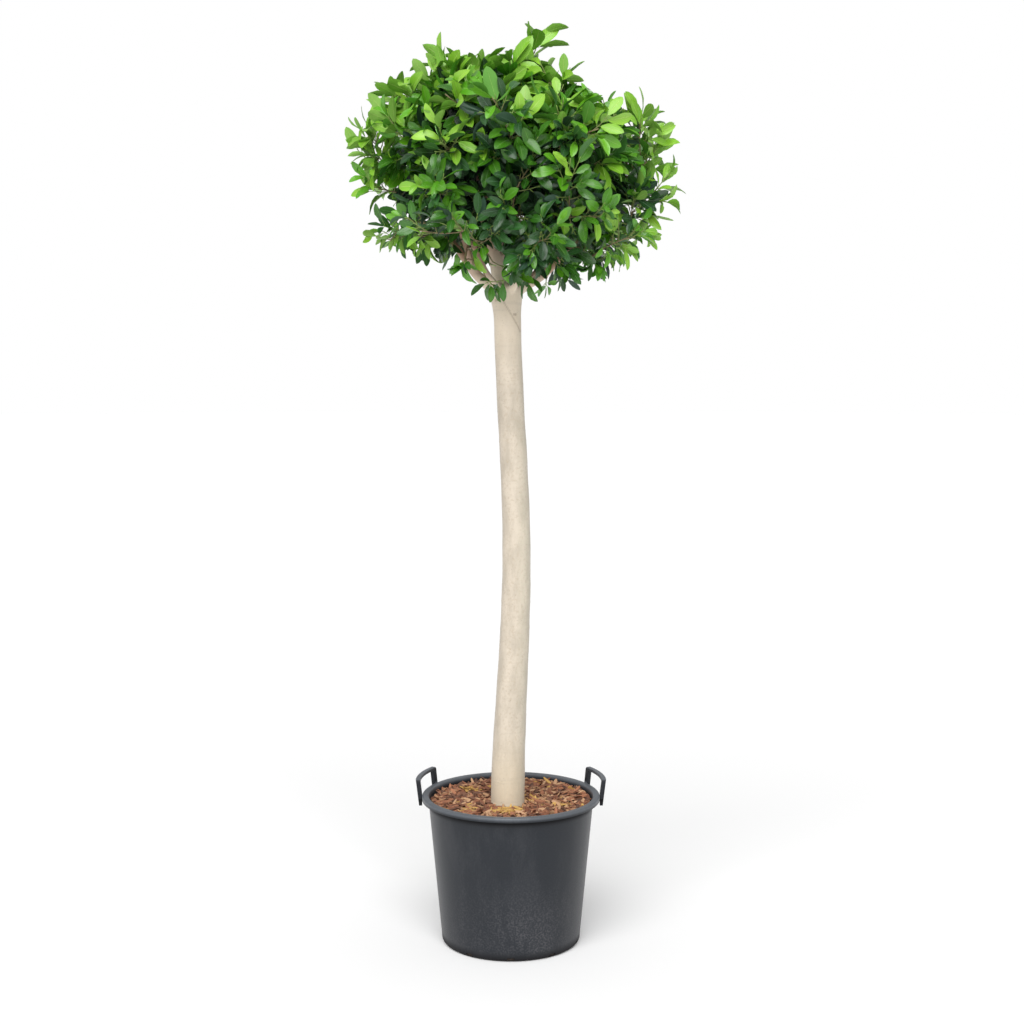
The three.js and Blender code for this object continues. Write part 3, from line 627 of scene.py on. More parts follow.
@dataclass(frozen=True)
class BarkFinish:
    """Smooth pale bark with faint rings, small dark pores and scars. Its heights are in metres."""

    name: str = "pale_bark"
    cream: Colour = rgb(0.545, 0.475, 0.385)
    grey: Colour = rgb(0.425, 0.37, 0.295)
    speck: Colour = rgb(0.40, 0.325, 0.235)
    # Paler bark towards the fork is painted light that lifts the crown's shadow.
    pale: Colour = rgb(0.83, 0.71, 0.555)
    painted_light_heights: Pair = (1.50, 1.86)
    tan: Colour = rgb(0.61, 0.515, 0.375)
    tan_heights: Pair = (0.42, 0.64)
    moss: Colour = rgb(0.50, 0.485, 0.37)
    inner: Colour = rgb(0.36, 0.19, 0.115)
    scar: Colour = rgb(0.16, 0.09, 0.045)

    def material(self) -> Material:
        """Streaked cream, paler high up as painted light in the crown's shadow, thin level rings,
        pores, scars, and pinkish brown on the boughs.

        Returns:
            The material.
        """
        material, graph, shader = new_material(self.name, Sheen_Weight=0.12)
        place = graph.place()
        across_stem, _, height = graph.parts(place)
        drawn_out = graph.stretched(place, (1, 1, 0.3))
        streaks, grain = graph.mottle(drawn_out, Broad=44.0, Fine=330.0, Low=0.3, High=0.75)
        rings = graph.ramp(graph.noise(graph.stretched(place, (2.0, 2.0, 60.0)), 1.6, 4.0), 0.52, 0.66)
        specks = graph.ramp(graph.noise(place, 150.0), 0.5, 0.7, 0.0, 0.5)
        green = graph.times(graph.ramp(across_stem, 0.005, 0.045), graph.ramp(grain, 0.3, 0.7))
        dark = graph.math("MAXIMUM", graph.times(self.pores(graph, place), 0.85), graph.value("scar"))
        colour = graph.blend(streaks, self.cream, self.grey)
        for share, tint in (
            (specks, self.speck),
            # Painted light: paler towards the fork, in the crown's shadow.
            (graph.ramp(height, *self.painted_light_heights, 0.0, 0.9), self.pale),
            (graph.ramp(height, *self.tan_heights, 0.7, 0.0), self.tan),
            (graph.times(rings, 0.18), self.grey),
            (graph.times(green, 0.5), self.moss),
            (graph.value("inner"), self.inner),
            (graph.times(dark, 0.8), self.scar),
        ):
            colour = graph.blend(share, colour, tint)
        relief = graph.bump(graph.line(rings, 0.3, grain), 0.6)
        relief = graph.bump(graph.math("SUBTRACT", 1.0, dark), 0.8, relief)
        rough = graph.ramp(grain, 0.2, 0.8, 0.42, 0.62)
        feed(graph, shader, Base_Color=colour, Roughness=rough, Normal=relief)
        return material

    def pores(self, graph: Graph, place: Socket) -> Socket:
        """Small level pores: near a random point, and inside a cloud, so in loose groups."""
        level = graph.stretched(place, (60, 60, 150))
        away = graph.add("TexVoronoi", {"Vector": level, "Scale": 1.6}).outputs["Distance"]
        near = graph.ramp(away, 0.05, 0.16, 1.0, 0.0)
        return graph.times(near, graph.ramp(graph.noise(place, 40.0, 1.0), 0.46, 0.58))


@dataclass(frozen=True)
class TwigFinish:
    """Thin bark of twigs or leaf stalks."""

    name: str
    old: Colour
    young: Colour

    def material(self) -> Material:
        """A change of colour along the twig, clouded by grain.

        Returns:
            The material.
        """
        material, graph, shader = new_material(self.name)
        along = graph.parts(graph.surface())[0]
        clouds, grain = graph.mottle(graph.place(), Broad=45.0, Fine=300.0, Low=0.3, High=0.75)
        share = graph.line(clouds, 0.4, graph.times(along, 0.6))
        feed(graph, shader, Base_Color=graph.blend(share, self.old, self.young),
             Roughness=graph.ramp(grain, 0.2, 0.8, 0.5, 0.75), Normal=graph.bump(grain, 0.4))
        return material


@dataclass(frozen=True)
class LeafFinish:
    """One colour of leaf, with a glossy upper side and a paler, duller underside."""

    name: str
    dark: Colour
    light: Colour
    rib: Colour
    under: Colour
    gloss: float
    pairs: float = 9.0

    def upper(self) -> Material:
        """The upper side: a tone for each leaf, a pale midrib and faint side veins.

        Returns:
            The material.
        """
        material, graph, shader = new_material("leaf_" + self.name, Specular_IOR_Level=0.6)
        midrib, veins, height = graph.veins(self.pairs)
        clouds, grain = graph.mottle(graph.surface(), Broad=3.0, Fine=40.0, Low=0.3, High=0.7)
        tone = graph.times(graph.line(clouds, 0.2, graph.value("tone")), 0.84)
        colour = graph.blend(tone, self.dark, self.light)
        colour = graph.blend(graph.times(veins, 0.22), colour, self.rib)
        colour = graph.blend(graph.times(midrib, 0.6), colour, self.rib)
        rough = graph.line(grain, 0.16, self.gloss - 0.08)
        feed(graph, shader, Base_Color=colour, Roughness=rough, Normal=graph.bump(height, 0.5))
        return material

    def lower(self) -> Material:
        """The underside: paler, duller, and with the midrib standing out of it.

        Returns:
            The material.
        """
        material, graph, shader = new_material("leaf_under_" + self.name)
        midrib, veins, _ = graph.veins(self.pairs)
        tone = graph.times(graph.line(veins, 0.25, graph.value("tone")), 0.8)
        colour = graph.blend(tone, self.dark, self.under)
        colour = graph.blend(graph.times(midrib, 0.5), colour, self.rib)
        rough = graph.ramp(veins, 0.0, 1.0, 0.5, 0.62)
        feed(graph, shader, Base_Color=colour, Roughness=rough, Normal=graph.bump(midrib, 0.6))
        return material


@dataclass
class Pot:
    """A thin nursery pot with a turned-down lip, drain holes and slots.

    Its sizes are those of the solid, and its curves have finer steps.
    """

    height: float = 415
    rim_radius: float = 248.5
    mouth_radius: float = 229
    rim_rounding: float = 5
    lip_height: float = 14
    wall: float = 3.5
    floor: float = 4
    ground_radius: float = 192.6
    flare: float = 0.094
    foot_rounding: float = 12
    shelf_drop: float = 1
    neck_rounding: float = 5
    skirt_rounding: float = 3
    wall_levels: Pair = (40, 398)
    mouth_level: float = 402
    segments: int = 180
    drain_holes: int = 10
    drain_width: float = 22
    drain_heights: Pair = (4, 12)
    drain_reach: float = 10
    slot_bearing: float = 56
    slot_width: float = 26
    slot_height: float = 8
    slot_depth: float = 2.0
    slot_below_lip: float = 1
    sharp_angle: float = 40

    def wall_radius(self, height: Number) -> Number:
        """Outer radius of the wall, which grows evenly with height."""
        return self.ground_radius + self.flare * height

    def inner_radius(self, height: Number) -> Number:
        """Inner radius of the wall, from the floor's edge in a straight line to the mouth."""
        share = (height - self.floor) / (self.height - self.floor)
        return mix(self.wall_radius(self.floor) - self.wall, self.mouth_radius, share)

    def outline(self) -> Array:
        """The pot's section: arcs at its edges, joined by straight lines.

        It runs from the underside's middle up the outside, over the rim and down the inside.
        """
        bottom = self.height - self.lip_height
        top = self.height - self.rim_rounding
        shelf = top - self.shelf_drop
        skirt = self.rim_radius - self.wall
        foot, neck, edge, rim = self.foot_rounding, self.neck_rounding, self.skirt_rounding, self.rim_rounding
        bead = self.wall / 2
        levels = np.linspace(*self.wall_levels, 8)
        inside = np.linspace(self.mouth_level, self.floor, 8)
        return np.vstack([
            [[0, 0], [self.ground_radius / 2, 0]],
            arc((self.wall_radius(foot) - foot, foot), foot, -90, 0, 6),
            np.stack([self.wall_radius(levels), levels], -1),
            arc((self.wall_radius(top) + neck, shelf - neck), neck, 180, 90, 4),
            [[skirt - edge, shelf]],
            arc((skirt - edge, shelf - edge), edge, 90, 0, 3),
            arc((skirt + bead, bottom + bead), bead, 180, 360, 6),
            arc((self.rim_radius - rim, top), rim, 0, 90, 6),
            arc((self.mouth_radius + rim, top), rim, 90, 180, 6),
            np.stack([self.inner_radius(inside), inside], -1),
            [[self.ground_radius / 2, self.floor], [0, self.floor]],
        ])

    def cutter(self, bearing: float, width: float, heights: tuple, middles: Array, reach: float) -> Shape:
        """A block with flat sides that cuts one opening in the wall.

        Args:
            bearing: Its middle.
            width: Its width across the bearing.
            heights: Its lowest and highest level.
            middles: How far from the axis its middle is there.
            reach: How far it reaches inwards and outwards.

        Returns:
            The closed block.
        """
        inner, outer = middles - reach, middles + reach
        half = np.degrees(width / 2 / outer[1])
        bearings = bearing + half * np.array([-1, 1, 1, -1])
        radii = np.stack([outer, outer, inner, inner], -1)
        rings = on_circle(bearings, radii, np.array(heights)[:, None])
        faces = grid_faces(2, 4, True).tolist() + [[3, 2, 1, 0], [4, 5, 6, 7]]
        return Shape(rings.reshape(-1, 3), faces)

    def cutters(self) -> list[Shape]:
        """Blocks for the drain holes and for the slots under the lip at the front and the back."""
        foot = np.full(2, self.wall_radius(0))
        high = self.height - self.lip_height - self.slot_below_lip
        levels = np.array([high - self.slot_height, high])
        holes = -90 + 360 / self.drain_holes * np.arange(self.drain_holes)
        slots = [side + turn for side in (-90, 90) for turn in (-self.slot_bearing, self.slot_bearing)]
        return [
            *[self.cutter(bearing, self.drain_width, self.drain_heights, foot, self.drain_reach)
              for bearing in holes],
            *[self.cutter(bearing, self.slot_width, levels, self.wall_radius(levels), self.slot_depth)
              for bearing in slots],
        ]

    def build(self, finish: Material) -> None:
        """Turns the shell, cuts the openings out of it and dresses it.

        Args:
            finish: The plastic.
        """
        shell = add_object("pot_shell", turned(self.outline(), self.segments).mesh("pot_shell"))
        cutters = [add_object("cutter", shape.mesh("cutter")) for shape in self.cutters()]
        for cutter in cutters:
            cut = shell.modifiers.new("opening", "BOOLEAN")
            cut.operation = "DIFFERENCE"
            cut.solver = "EXACT"
            cut.object = cutter
        mesh = with_modifiers_applied(shell)
        for cutter in cutters:
            bpy.data.objects.remove(cutter)
        mesh.set_sharp_from_angle(angle=np.radians(self.sharp_angle))
        add_piece("pot_wall", mesh, Slot.POT, ["pot"], finish)


@dataclass
class Handle:
    """A square loop of channel-shaped plastic on the outside of the lip."""

    name: str
    first: float
    last: float
    top: float = 458
    foot: float = 383
    bar: float = 9
    post: float = 15
    foot_radii: Pair = (248.8, 257)
    top_radii: Pair = (254, 266)
    lip: float = 415
    levels: Row = (383, 389, 397, 415, 427)
    corner: float = 6
    inner_corner: float = 2
    edge: float = 3
    groove: float = 3.5
    groove_slant: float = 0.6
    groove_start: float = 393
    chamfer: float = 0.9
    bearing_radius: float = 254.5
    sharp_angle: float = 35

    def half_line(self, inset: Pair, rounding: float) -> Array:
        """Half of a line round the loop, inset from its edge: a post, the corner and half the bar."""
        left = inset[0] - self.post / 2
        high = self.top - inset[1]
        bend = arc((left + rounding, high - rounding), rounding, 180, 90, 5)
        steps = mix(left + rounding, self.span() / 2, np.linspace(0.15, 1, 6))
        return np.vstack([[[left, level] for level in self.levels], bend, [[step, high] for step in steps]])

    def span(self) -> float:
        """Distance along the rim between the middles of the two posts."""
        return np.radians(self.last - self.first) * self.bearing_radius

    def line(self, inset: Pair, rounding: float) -> Array:
        """A whole line round the loop: one half, and its mirror image."""
        half = self.half_line(inset, rounding)
        return np.vstack([half, [[self.span(), 0]] + half[-2::-1] * [-1, 1]])

    def section(self, width: Array, depth: Array) -> tuple[Array, Array, Array]:
        """The channel's section: a bevelled bar with a groove in its outer face.

        Returns:
            For each corner how far it lies across the bar, whether it is on the outer face,
            and how far it stands out from its face.
        """
        bevel = self.chamfer
        half = np.array([[bevel, 0, 0, bevel, self.edge, self.edge + self.groove_slant]])
        over = np.hstack([np.repeat(half, len(width), 0), width - half[:, ::-1]])
        outer = np.array([0, 0, 1, 1, 1, 1, 1, 1, 1, 1, 0, 0])
        shift = np.hstack([np.repeat([[0, bevel, -bevel, 0, 0]], len(width), 0), -depth])
        return over, outer, np.hstack([shift, shift[:, ::-1]])

    def build(self, finish: Material) -> None:
        """Carries the section round the loop, between its outer and its inner line.

        The posts hug the lip and lean out above it.

        Args:
            finish: The plastic.
        """
        outside = self.line((0, 0), self.corner)
        inside = self.line((self.post, self.bar), self.inner_corner)
        width = np.linalg.norm(inside - outside, axis=1)[:, None]
        depth = self.groove * (outside[:, 1:] > self.groove_start)
        over, outer, shift = self.section(width, depth)
        place = outside[:, None] + (inside - outside)[:, None] * (over / width)[:, :, None]
        height = place[:, :, 1]
        lean = np.clip((height - self.lip) / (self.top - self.lip), 0, 1)
        near = mix(self.foot_radii[0], self.top_radii[0], lean)
        far = mix(self.foot_radii[1], self.top_radii[1], (height - self.foot) / (self.top - self.foot))
        bearing = self.first + np.degrees(place[:, :, 0] / self.bearing_radius)
        places = on_circle(bearing, near + ((far - near) * outer + shift), height).reshape(-1, 3)
        steps, corners = height.shape
        last = (steps - 1) * corners
        faces = grid_faces(steps, corners, True)[:, ::-1].tolist()
        faces += [list(range(corners)), list(range(last, last + corners))[::-1]]
        mesh = Shape(places, faces).mesh(self.name)
        mesh.set_sharp_from_angle(angle=np.radians(self.sharp_angle))
        add_piece(self.name + "_loop", mesh, Slot.POT, [self.name], finish)


@dataclass
class Mulch:
    """Bark chips heaped on a dark bed, over the potting soil."""

    bottom: float = 377.3
    top: float = 399
    bed_top: float = 392
    bed_gap: float = 1
    bed_inner: float = 6
    bed_waves: Triple = (1.6, 7.3, 6.1)
    chips: int = 1800
    radius: float = 228
    length: Pair = (16, 48)
    width: Pair = (7, 14)
    thickness: Pair = (2.2, 5.5)
    few_long: float = 1.7
    least_wide: float = 0.6
    wall_gap: float = 3
    stem_gap: float = 2
    scatter: float = 2.5
    lowest: float = -3
    heap: float = 6
    pitch: float = 0.26
    roll: float = 0.4
    bend: float = 0.06
    stations: Row = (-1, -0.62, 0.05, 0.68, 1)
    girths: Row = (0.42, 0.95, 1.0, 0.86, 0.3)
    unevenness: float = 0.3
    section: tuple = ((-1, -0.55), (0.0, -1), (1, -0.45), (0.85, 0.7), (-0.1, 1.0), (-0.9, 0.6))
    sharp_angle: float = 50
    uv_reach: float = 5
    seed: int = 31
    waves: tuple[Triple, ...] = ((1.8, 145, 120), (1.4, 82, -96), (1.2, -210, 64))
    dip: float = 8
    dip_width: float = 70
    dip_place: Pair = (-9, -21)
    patches: tuple = ((-10, -122, 50), (72, -4, 34), (142, -66, 28), (-112, 88, 27), (-111, -104, 30))
    patch_squash: float = 1.4
    patch_share: float = 0.62

    def relief(self, x: Array, y: Array) -> Array:
        """Height over the mean level: a sum of slanted waves, less a round dip at the trunk."""
        away = np.hypot(x - self.dip_place[0], y - self.dip_place[1])
        dip = self.dip * np.exp(-(away / self.dip_width) ** 2)
        waves = [high * np.sin(2 * np.pi * (x / across_x + y / across_y))
                 for high, across_x, across_y in self.waves]
        return sum(waves) - dip

    def build_bed(self, pot: Pot, finish: Material) -> None:
        """A low disc with a rough top, a product of two sines on the relief, closed below.

        Args:
            pot: The pot that it fills.
            finish: The bed's finish.
        """
        reach = np.linspace(pot.inner_radius(self.bed_top) - self.bed_gap, self.bed_inner, 26)
        outline = np.vstack([
            [[0, self.bottom], [pot.inner_radius(self.bottom) - self.bed_gap, self.bottom]],
            [[radius, self.bed_top] for radius in reach],
            [[0, self.bed_top]],
        ])
        shape = turned(outline, 96)
        x, y, z = shape.places.T
        high, long_x, long_y = self.bed_waves
        rough = high * np.sin(x / long_x) * np.sin(y / long_y) + self.relief(x, y)
        shape.places[:, 2] += np.where(z > self.bottom, rough, 0)
        add_piece("mulch_bed", shape.mesh("mulch_bed"), Slot.MULCH, ["bark_mulch"], finish)

    def build_chips(self, pot: Pot, trunk: "Trunk", finishes: list[ChipFinish]) -> None:
        """Scatters chips over the bed, one piece for each colour."""
        random = np.random.default_rng(self.seed)
        length = mix(*self.length, random.random(self.chips) ** self.few_long)
        width = mix(*self.width, random.random(self.chips)) * mix(self.least_wide, 1, length / self.length[1])
        thick = mix(*self.thickness, random.random(self.chips))
        x, y, heading = self.scattered(pot, length, width, random)
        foot = trunk.centre(np.array([self.top]))[0]
        clear = np.hypot(x - foot[0], y - foot[1]) > trunk.radius(np.array([self.top]))[0] + self.stem_gap
        z = self.top + self.relief(x, y) + self.lowest + self.heap * random.random(self.chips)
        places = self.splinters(np.stack([x, y, z], -1), heading, length, width, thick, random)
        tone = np.repeat(random.random(self.chips)[:, None], places.shape[1], 1)
        kind = self.kinds(x, y, random, finishes)
        for number, finish in enumerate(finishes):
            chosen = clear & (kind == number)
            shape = self.chip_shape(places[chosen], tone[chosen], np.random.default_rng(self.seed + number))
            mesh = shape.mesh(finish.name)
            mesh.set_sharp_from_angle(angle=np.radians(self.sharp_angle))
            add_piece(finish.name, mesh, Slot.MULCH, ["bark_mulch"], finish.material())

    def scattered(self, pot: Pot, length: Array, width: Array, random: Random) -> tuple[Array, Array, Array]:
        """X, y and heading of chips on a spiral whose turn is the golden angle, off the wall."""
        turn = GOLDEN_ANGLE * np.arange(self.chips)
        reach = np.sqrt((np.arange(self.chips) + 0.5) / self.chips) * self.radius
        heading = random.random(self.chips) * 2 * np.pi
        room = pot.inner_radius(self.top) - self.wall_gap
        reach = np.minimum(reach, room - length / 2 * np.abs(np.cos(heading - turn)) - width / 2)
        x = reach * np.cos(turn) + random.normal(0, self.scatter, self.chips)
        y = reach * np.sin(turn) + random.normal(0, self.scatter, self.chips)
        return x, y, heading

    def splinters(self, centre: Array, heading: Array, length: Array, width: Array, thick: Array,
                  random: Random) -> Array:
        """Bent splinters: a rounded oblong ring carried along each, thin at both ends.

        They point by their heading, and are tilted, rolled and bent by chance. Their
        places come back as (chip, corner, 3).
        """
        pitch = random.normal(0, self.pitch, len(centre))
        roll = random.normal(0, self.roll, len(centre))
        level = np.stack([np.cos(heading), np.sin(heading), np.zeros(len(heading))], -1)
        along = swung(level, UP, pitch)
        side = unit(np.cross(UP, along))
        side = swung(side, np.cross(along, side), roll)
        over = np.cross(along, side)
        jitter = 1 + self.unevenness * (random.random((len(centre), len(self.stations))) - 0.5)
        bend = random.normal(0, self.bend, len(centre))
        forward = np.array(self.stations) * length[:, None] / 2
        lift = bend[:, None] * (forward ** 2) / length[:, None] * 4
        girths = np.array(self.girths) * jitter
        ring = np.array(self.section) / 2
        sideways = ring[:, 0] * (width[:, None] * girths)[:, :, None]
        upwards = ring[:, 1] * (thick[:, None] * girths)[:, :, None] + lift[:, :, None]
        places = (centre[:, None, None] + along[:, None, None] * forward[:, :, None, None]
                  + side[:, None, None] * sideways[..., None] + over[:, None, None] * upwards[..., None])
        return places.reshape(len(centre), -1, 3)

    def chip_shape(self, places: Array, tone: Array, random: Random) -> Shape:
        """Joins splinters, each with its own part of the fibres' pattern."""
        count, corners, _ = places.shape
        rows, columns = len(self.stations), len(self.section)
        ring = np.arange(columns)[None]
        faces = repeated(grid_faces(rows, columns, True), count, corners)
        faces += repeated(ring[:, ::-1], count, corners)
        faces += repeated(corners - columns + ring, count, corners)
        uv = grid_uv(np.linspace(0, 1, rows), np.linspace(0, 1, columns))
        uv = (uv + random.random((count, 1, 2)) * self.uv_reach).reshape(-1, 2)
        return Shape(places.reshape(-1, 3), faces, uv, {"tone": tone.ravel()})

    def kinds(self, x: Array, y: Array, random: Random, finishes: list[ChipFinish]) -> Array:
        """Which finish each chip wears: by share, with the last one gathered in patches."""
        shares = np.array([finish.share for finish in finishes])
        kind = random.choice(len(finishes), len(x), p=shares / shares.sum())
        for left, front, size in self.patches:
            near = np.hypot(x - left, (y - front) * self.patch_squash) < size
            kind = np.where(near & (random.random(len(x)) < self.patch_share), len(finishes) - 1, kind)
        return kind


@dataclass
class Trunk:
    """The bare stem: its middle line and its radius at each height."""

    foot: float = 377.3
    top: float = 1838
    base_radius: float = 36.2
    taper: float = 14.5
    taper_length: float = 420
    foot_inset: float = 4
    inset_length: float = 80
    bow_middle: float = 3.2
    bow_swing: float = 12.2
    bow_centre: float = 1080
    bow_length: float = 1400
    foot_forward: float = 22
    fork_shift: float = -4.5
    fork_start: float = 1700
    fork: float = 1826
    fork_swell: float = 7.3
    swell_length: float = 90
    fork_oval: float = 0.05
    dome: float = 1814
    dome_least: float = 0.3
    rings: int = 160
    sides: int = 40
    seam: tuple = ((-32, 1818), (-27, 1795), (-16, 1775), (3, 1744), (19, 1715), (26, 1698))
    seam_edges: Pair = (0.5, 3.0)
    knots: tuple[Triple, ...] = ((11, 1747, 6), (-39, 1786, 6))
    knot_squash: float = 1.3
    knot_ring: Triple = (0.4, 0.25, 0.6)
    scar_weight: float = 0.5
    scar_front: float = 8
    scar_depth: float = 1.2
    ridges: int = 10
    ridge_margin: float = 60
    ridge_tilt: float = 0.06
    ridge_heights: Pair = (0.15, 0.5)
    ridge_width: float = 3.5
    lumps: int = 7
    lump_waves: Pair = (0.03, 0.12)
    lump_height: float = 1.1
    lump_shift: float = 6

    def centre(self, height: Array) -> Array:
        """Middle of the trunk: a cosine bow sideways, and a foot that stands forward.

        Args:
            height: Heights.

        Returns:
            One place for each.
        """
        turn = 2 * np.pi * (height - self.bow_centre) / self.bow_length
        fork = self.fork_shift * ease(height, self.fork_start, self.fork)
        climbed = np.minimum((height - self.foot) / (self.fork - self.foot), 1)
        forward = self.foot_forward * (1 - climbed) ** 2
        return np.stack([self.bow_middle + self.bow_swing * np.cos(turn) + fork, -forward, height], -1)

    def radius(self, height: Array) -> Array:
        """Radius: an even taper, drawn in at the foot, and a swelling that closes in a dome.

        Args:
            height: Heights.

        Returns:
            One radius for each.
        """
        above = height - self.foot
        taper = self.taper * np.exp(-above / self.taper_length)
        inset = self.foot_inset * np.exp(-above / self.inset_length)
        swell = self.fork_swell * ease(height, self.fork - self.swell_length, self.fork)
        dome = np.maximum(0, (height - self.dome) / (self.top - self.dome))
        closing = np.maximum(self.dome_least, np.sqrt(np.maximum(0, 1 - dome ** 2)))
        return (self.base_radius + taper - inset + swell) * closing

    def shape(self) -> Shape:
        """The stem: a ring round its centre at each height, slightly oval at the fork.

        Returns:
            One closed tube.
        """
        height = np.linspace(self.foot, self.top, self.rings)[:, None]
        turn = 2 * np.pi * np.arange(self.sides)[None] / self.sides
        oval = 1 + self.fork_oval * ease(height, self.fork_start, self.fork) * np.cos(2 * turn)
        radius = self.radius(height) * oval
        ring = np.stack([radius * np.cos(turn), radius * np.sin(turn), 0 * radius], -1)
        places = self.centre(height[:, 0])[:, None] + ring
        faces = grid_faces(self.rings, self.sides, True).tolist()
        last = (self.rings - 1) * self.sides
        faces += [list(range(self.sides))[::-1], list(range(last, last + self.sides))]
        return Shape(places.reshape(-1, 3), faces)

    def scars(self, places: Array) -> Array:
        """How much of a scar each place has, from 0 to 1: a slanting seam and two knots.

        Args:
            places: Places on the bark.

        Returns:
            One minus the smooth step of the distance, in front view, from the seam's line or
            a knot's ring, on the front side only.
        """
        x, y, z = places.T
        seam = np.array(self.seam[::-1])
        away = np.abs(x - np.interp(z, seam[:, 1], seam[:, 0]))
        inside = (z > seam[0, 1]) & (z < seam[-1, 1])
        scar = np.where(inside, 1 - ease(away, *self.seam_edges), 0) * self.scar_weight
        for left, height, size in self.knots:
            ring, inner, outer = size * np.array(self.knot_ring)
            away = np.abs(np.hypot(x - left, (z - height) * self.knot_squash) - ring)
            scar = np.maximum(scar, self.scar_weight * (1 - ease(away, inner, outer)))
        return np.where(y < self.centre(z)[:, 1] - self.scar_front, scar, 0)

    def relief(self, places: Array, inner: Array, random: Random) -> Array:
        """How far the bark stands out: level ridges on the stem, slow lumps, and sunk scars.

        A ridge is a bell curve of the height, the lumps are a mean of slanted waves, and both
        are weaker on inner places.
        """
        margin = self.ridge_margin
        levels = np.sort(mix(self.foot + margin, self.fork - margin, random.random(self.ridges)))
        tilts = random.normal(0, self.ridge_tilt, self.ridges)
        sizes = mix(*self.ridge_heights, random.random(self.ridges))
        tilted = places[:, 2, None] - levels - tilts * places[:, :1]
        ridges = (sizes * np.exp(-(tilted / self.ridge_width) ** 2)).sum(1)
        waves = unit(random.normal(0, 1, (self.lumps, 3)))
        waves *= mix(*self.lump_waves, random.random((self.lumps, 1)))
        lumps = np.sin(places @ waves.T + random.random(self.lumps) * self.lump_shift).mean(1)
        lumps = self.lump_height * lumps * (1 - inner / 2)
        return (1 - inner) * ridges + lumps - self.scar_depth * self.scars(places)


@dataclass(frozen=True)
class Ring:
    """One ring of leaf masses round the crown, by the rule of the solids.

    The first mass is at the start's bearing. The ring's height and the masses' depth change
    by their slopes with the place to the right.
    """

    level: str
    names: tuple[str, ...]
    start: float
    reach: float
    middle: float
    height: float
    slope: float
    radius: float
    depth: float
    depth_slope: float
    seed: int


@dataclass
class Mass:
    """One mass of leaves: its own ellipsoid, its weight in sharing room, and long shoots."""

    name: str
    centre: Array
    radii: Array
    weight: float
    leaders: list[Array]
    seed: int


class Chance:
    """A fixed sequence of numbers from 0 to 1, the same as that of the solids."""

    def __init__(self, seed: int) -> None:
        """Starts the sequence."""
        self.state = seed

    def next(self) -> float:
        """The next number: state times 1664525 plus 1013904223, over 2^32."""
        self.state = (self.state * 1664525 + 1013904223) % 2 ** 32
        return self.state / 2 ** 32


def smooth_line(knots: Array, steps: int = 200) -> Array:
    """Places at even steps along a smooth curve.

    Each stretch is the cubic of a centripetal Catmull-Rom curve: its slopes at its ends come
    from the knots beside it, weighed by the square roots of their distances.

    Args:
        knots: Places that the curve passes through.
        steps: Steps on each stretch, and on the whole line.

    Returns:
        The places.
    """
    ends = np.vstack([2 * knots[0] - knots[1], knots, 2 * knots[-1] - knots[-2]])
    spans = np.sqrt(np.linalg.norm(np.diff(ends, axis=0), axis=1))
    share = np.linspace(0, 1, steps + 1)[:, None]
    stretches = []
    for i in range(len(knots) - 1):
        before, first, last, after = ends[i:i + 4]
        one, two, three = spans[i:i + 3]
        leaving = two * ((first - before) / one - (last - before) / (one + two) + (last - first) / two)
        coming = two * ((last - first) / two - (after - first) / (two + three) + (after - last) / three)
        square = 3 * (last - first) - 2 * leaving - coming
        cube = 2 * (first - last) + leaving + coming
        stretches.append(first + leaving * share + square * share ** 2 + cube * share ** 3)
    points = np.vstack(stretches)
    travelled = np.concatenate([[0], np.cumsum(np.linalg.norm(np.diff(points, axis=0), axis=1))])
    even = np.linspace(0, travelled[-1], steps + 1)
    return np.stack([np.interp(even, travelled, points[:, axis]) for axis in range(3)], -1)


@dataclass
class Bough:
    """One tapering limb: its line at even steps and its radius at the root and the tip."""

    name: str
    mass: Mass
    line: Array
    girth: Pair
    collar: float = 0.55
    collar_length: float = 0.12

    def at(self, share: Array) -> Array:
        """The place at a share of its length."""
        steps = np.linspace(0, 1, len(self.line))
        return np.stack([np.interp(share, steps, self.line[:, axis]) for axis in range(3)], -1)

    def radius(self, share: Array) -> Array:
        """Its radius: an even taper, swollen at the root by a collar that fades out."""
        return mix(*self.girth, share) * (1 + self.collar * np.exp(-share / self.collar_length))

    def forward(self) -> Array:
        """The way that it points at its tip."""
        return unit(self.line[-1] - self.line[-2])


@dataclass
class Twig:
    """One twig: a straight way from start to end, pushed aside in its middle by its bow."""

    start: Array
    end: Array
    bow: Array
    radii: Pair
    leader: bool = False
    mass: Mass | None = None
    sprays: int = 8

    def at(self, share: Array) -> Array:
        """The place at a share of its length: the straight way plus 4 s (1 - s) of the bow."""
        share = np.asarray(share)[..., None]
        return mix(self.start, self.end, share) + self.bow * 4 * share * (1 - share)


SIDES = ("right", "back_right", "back_left", "left", "front_left", "front_right")


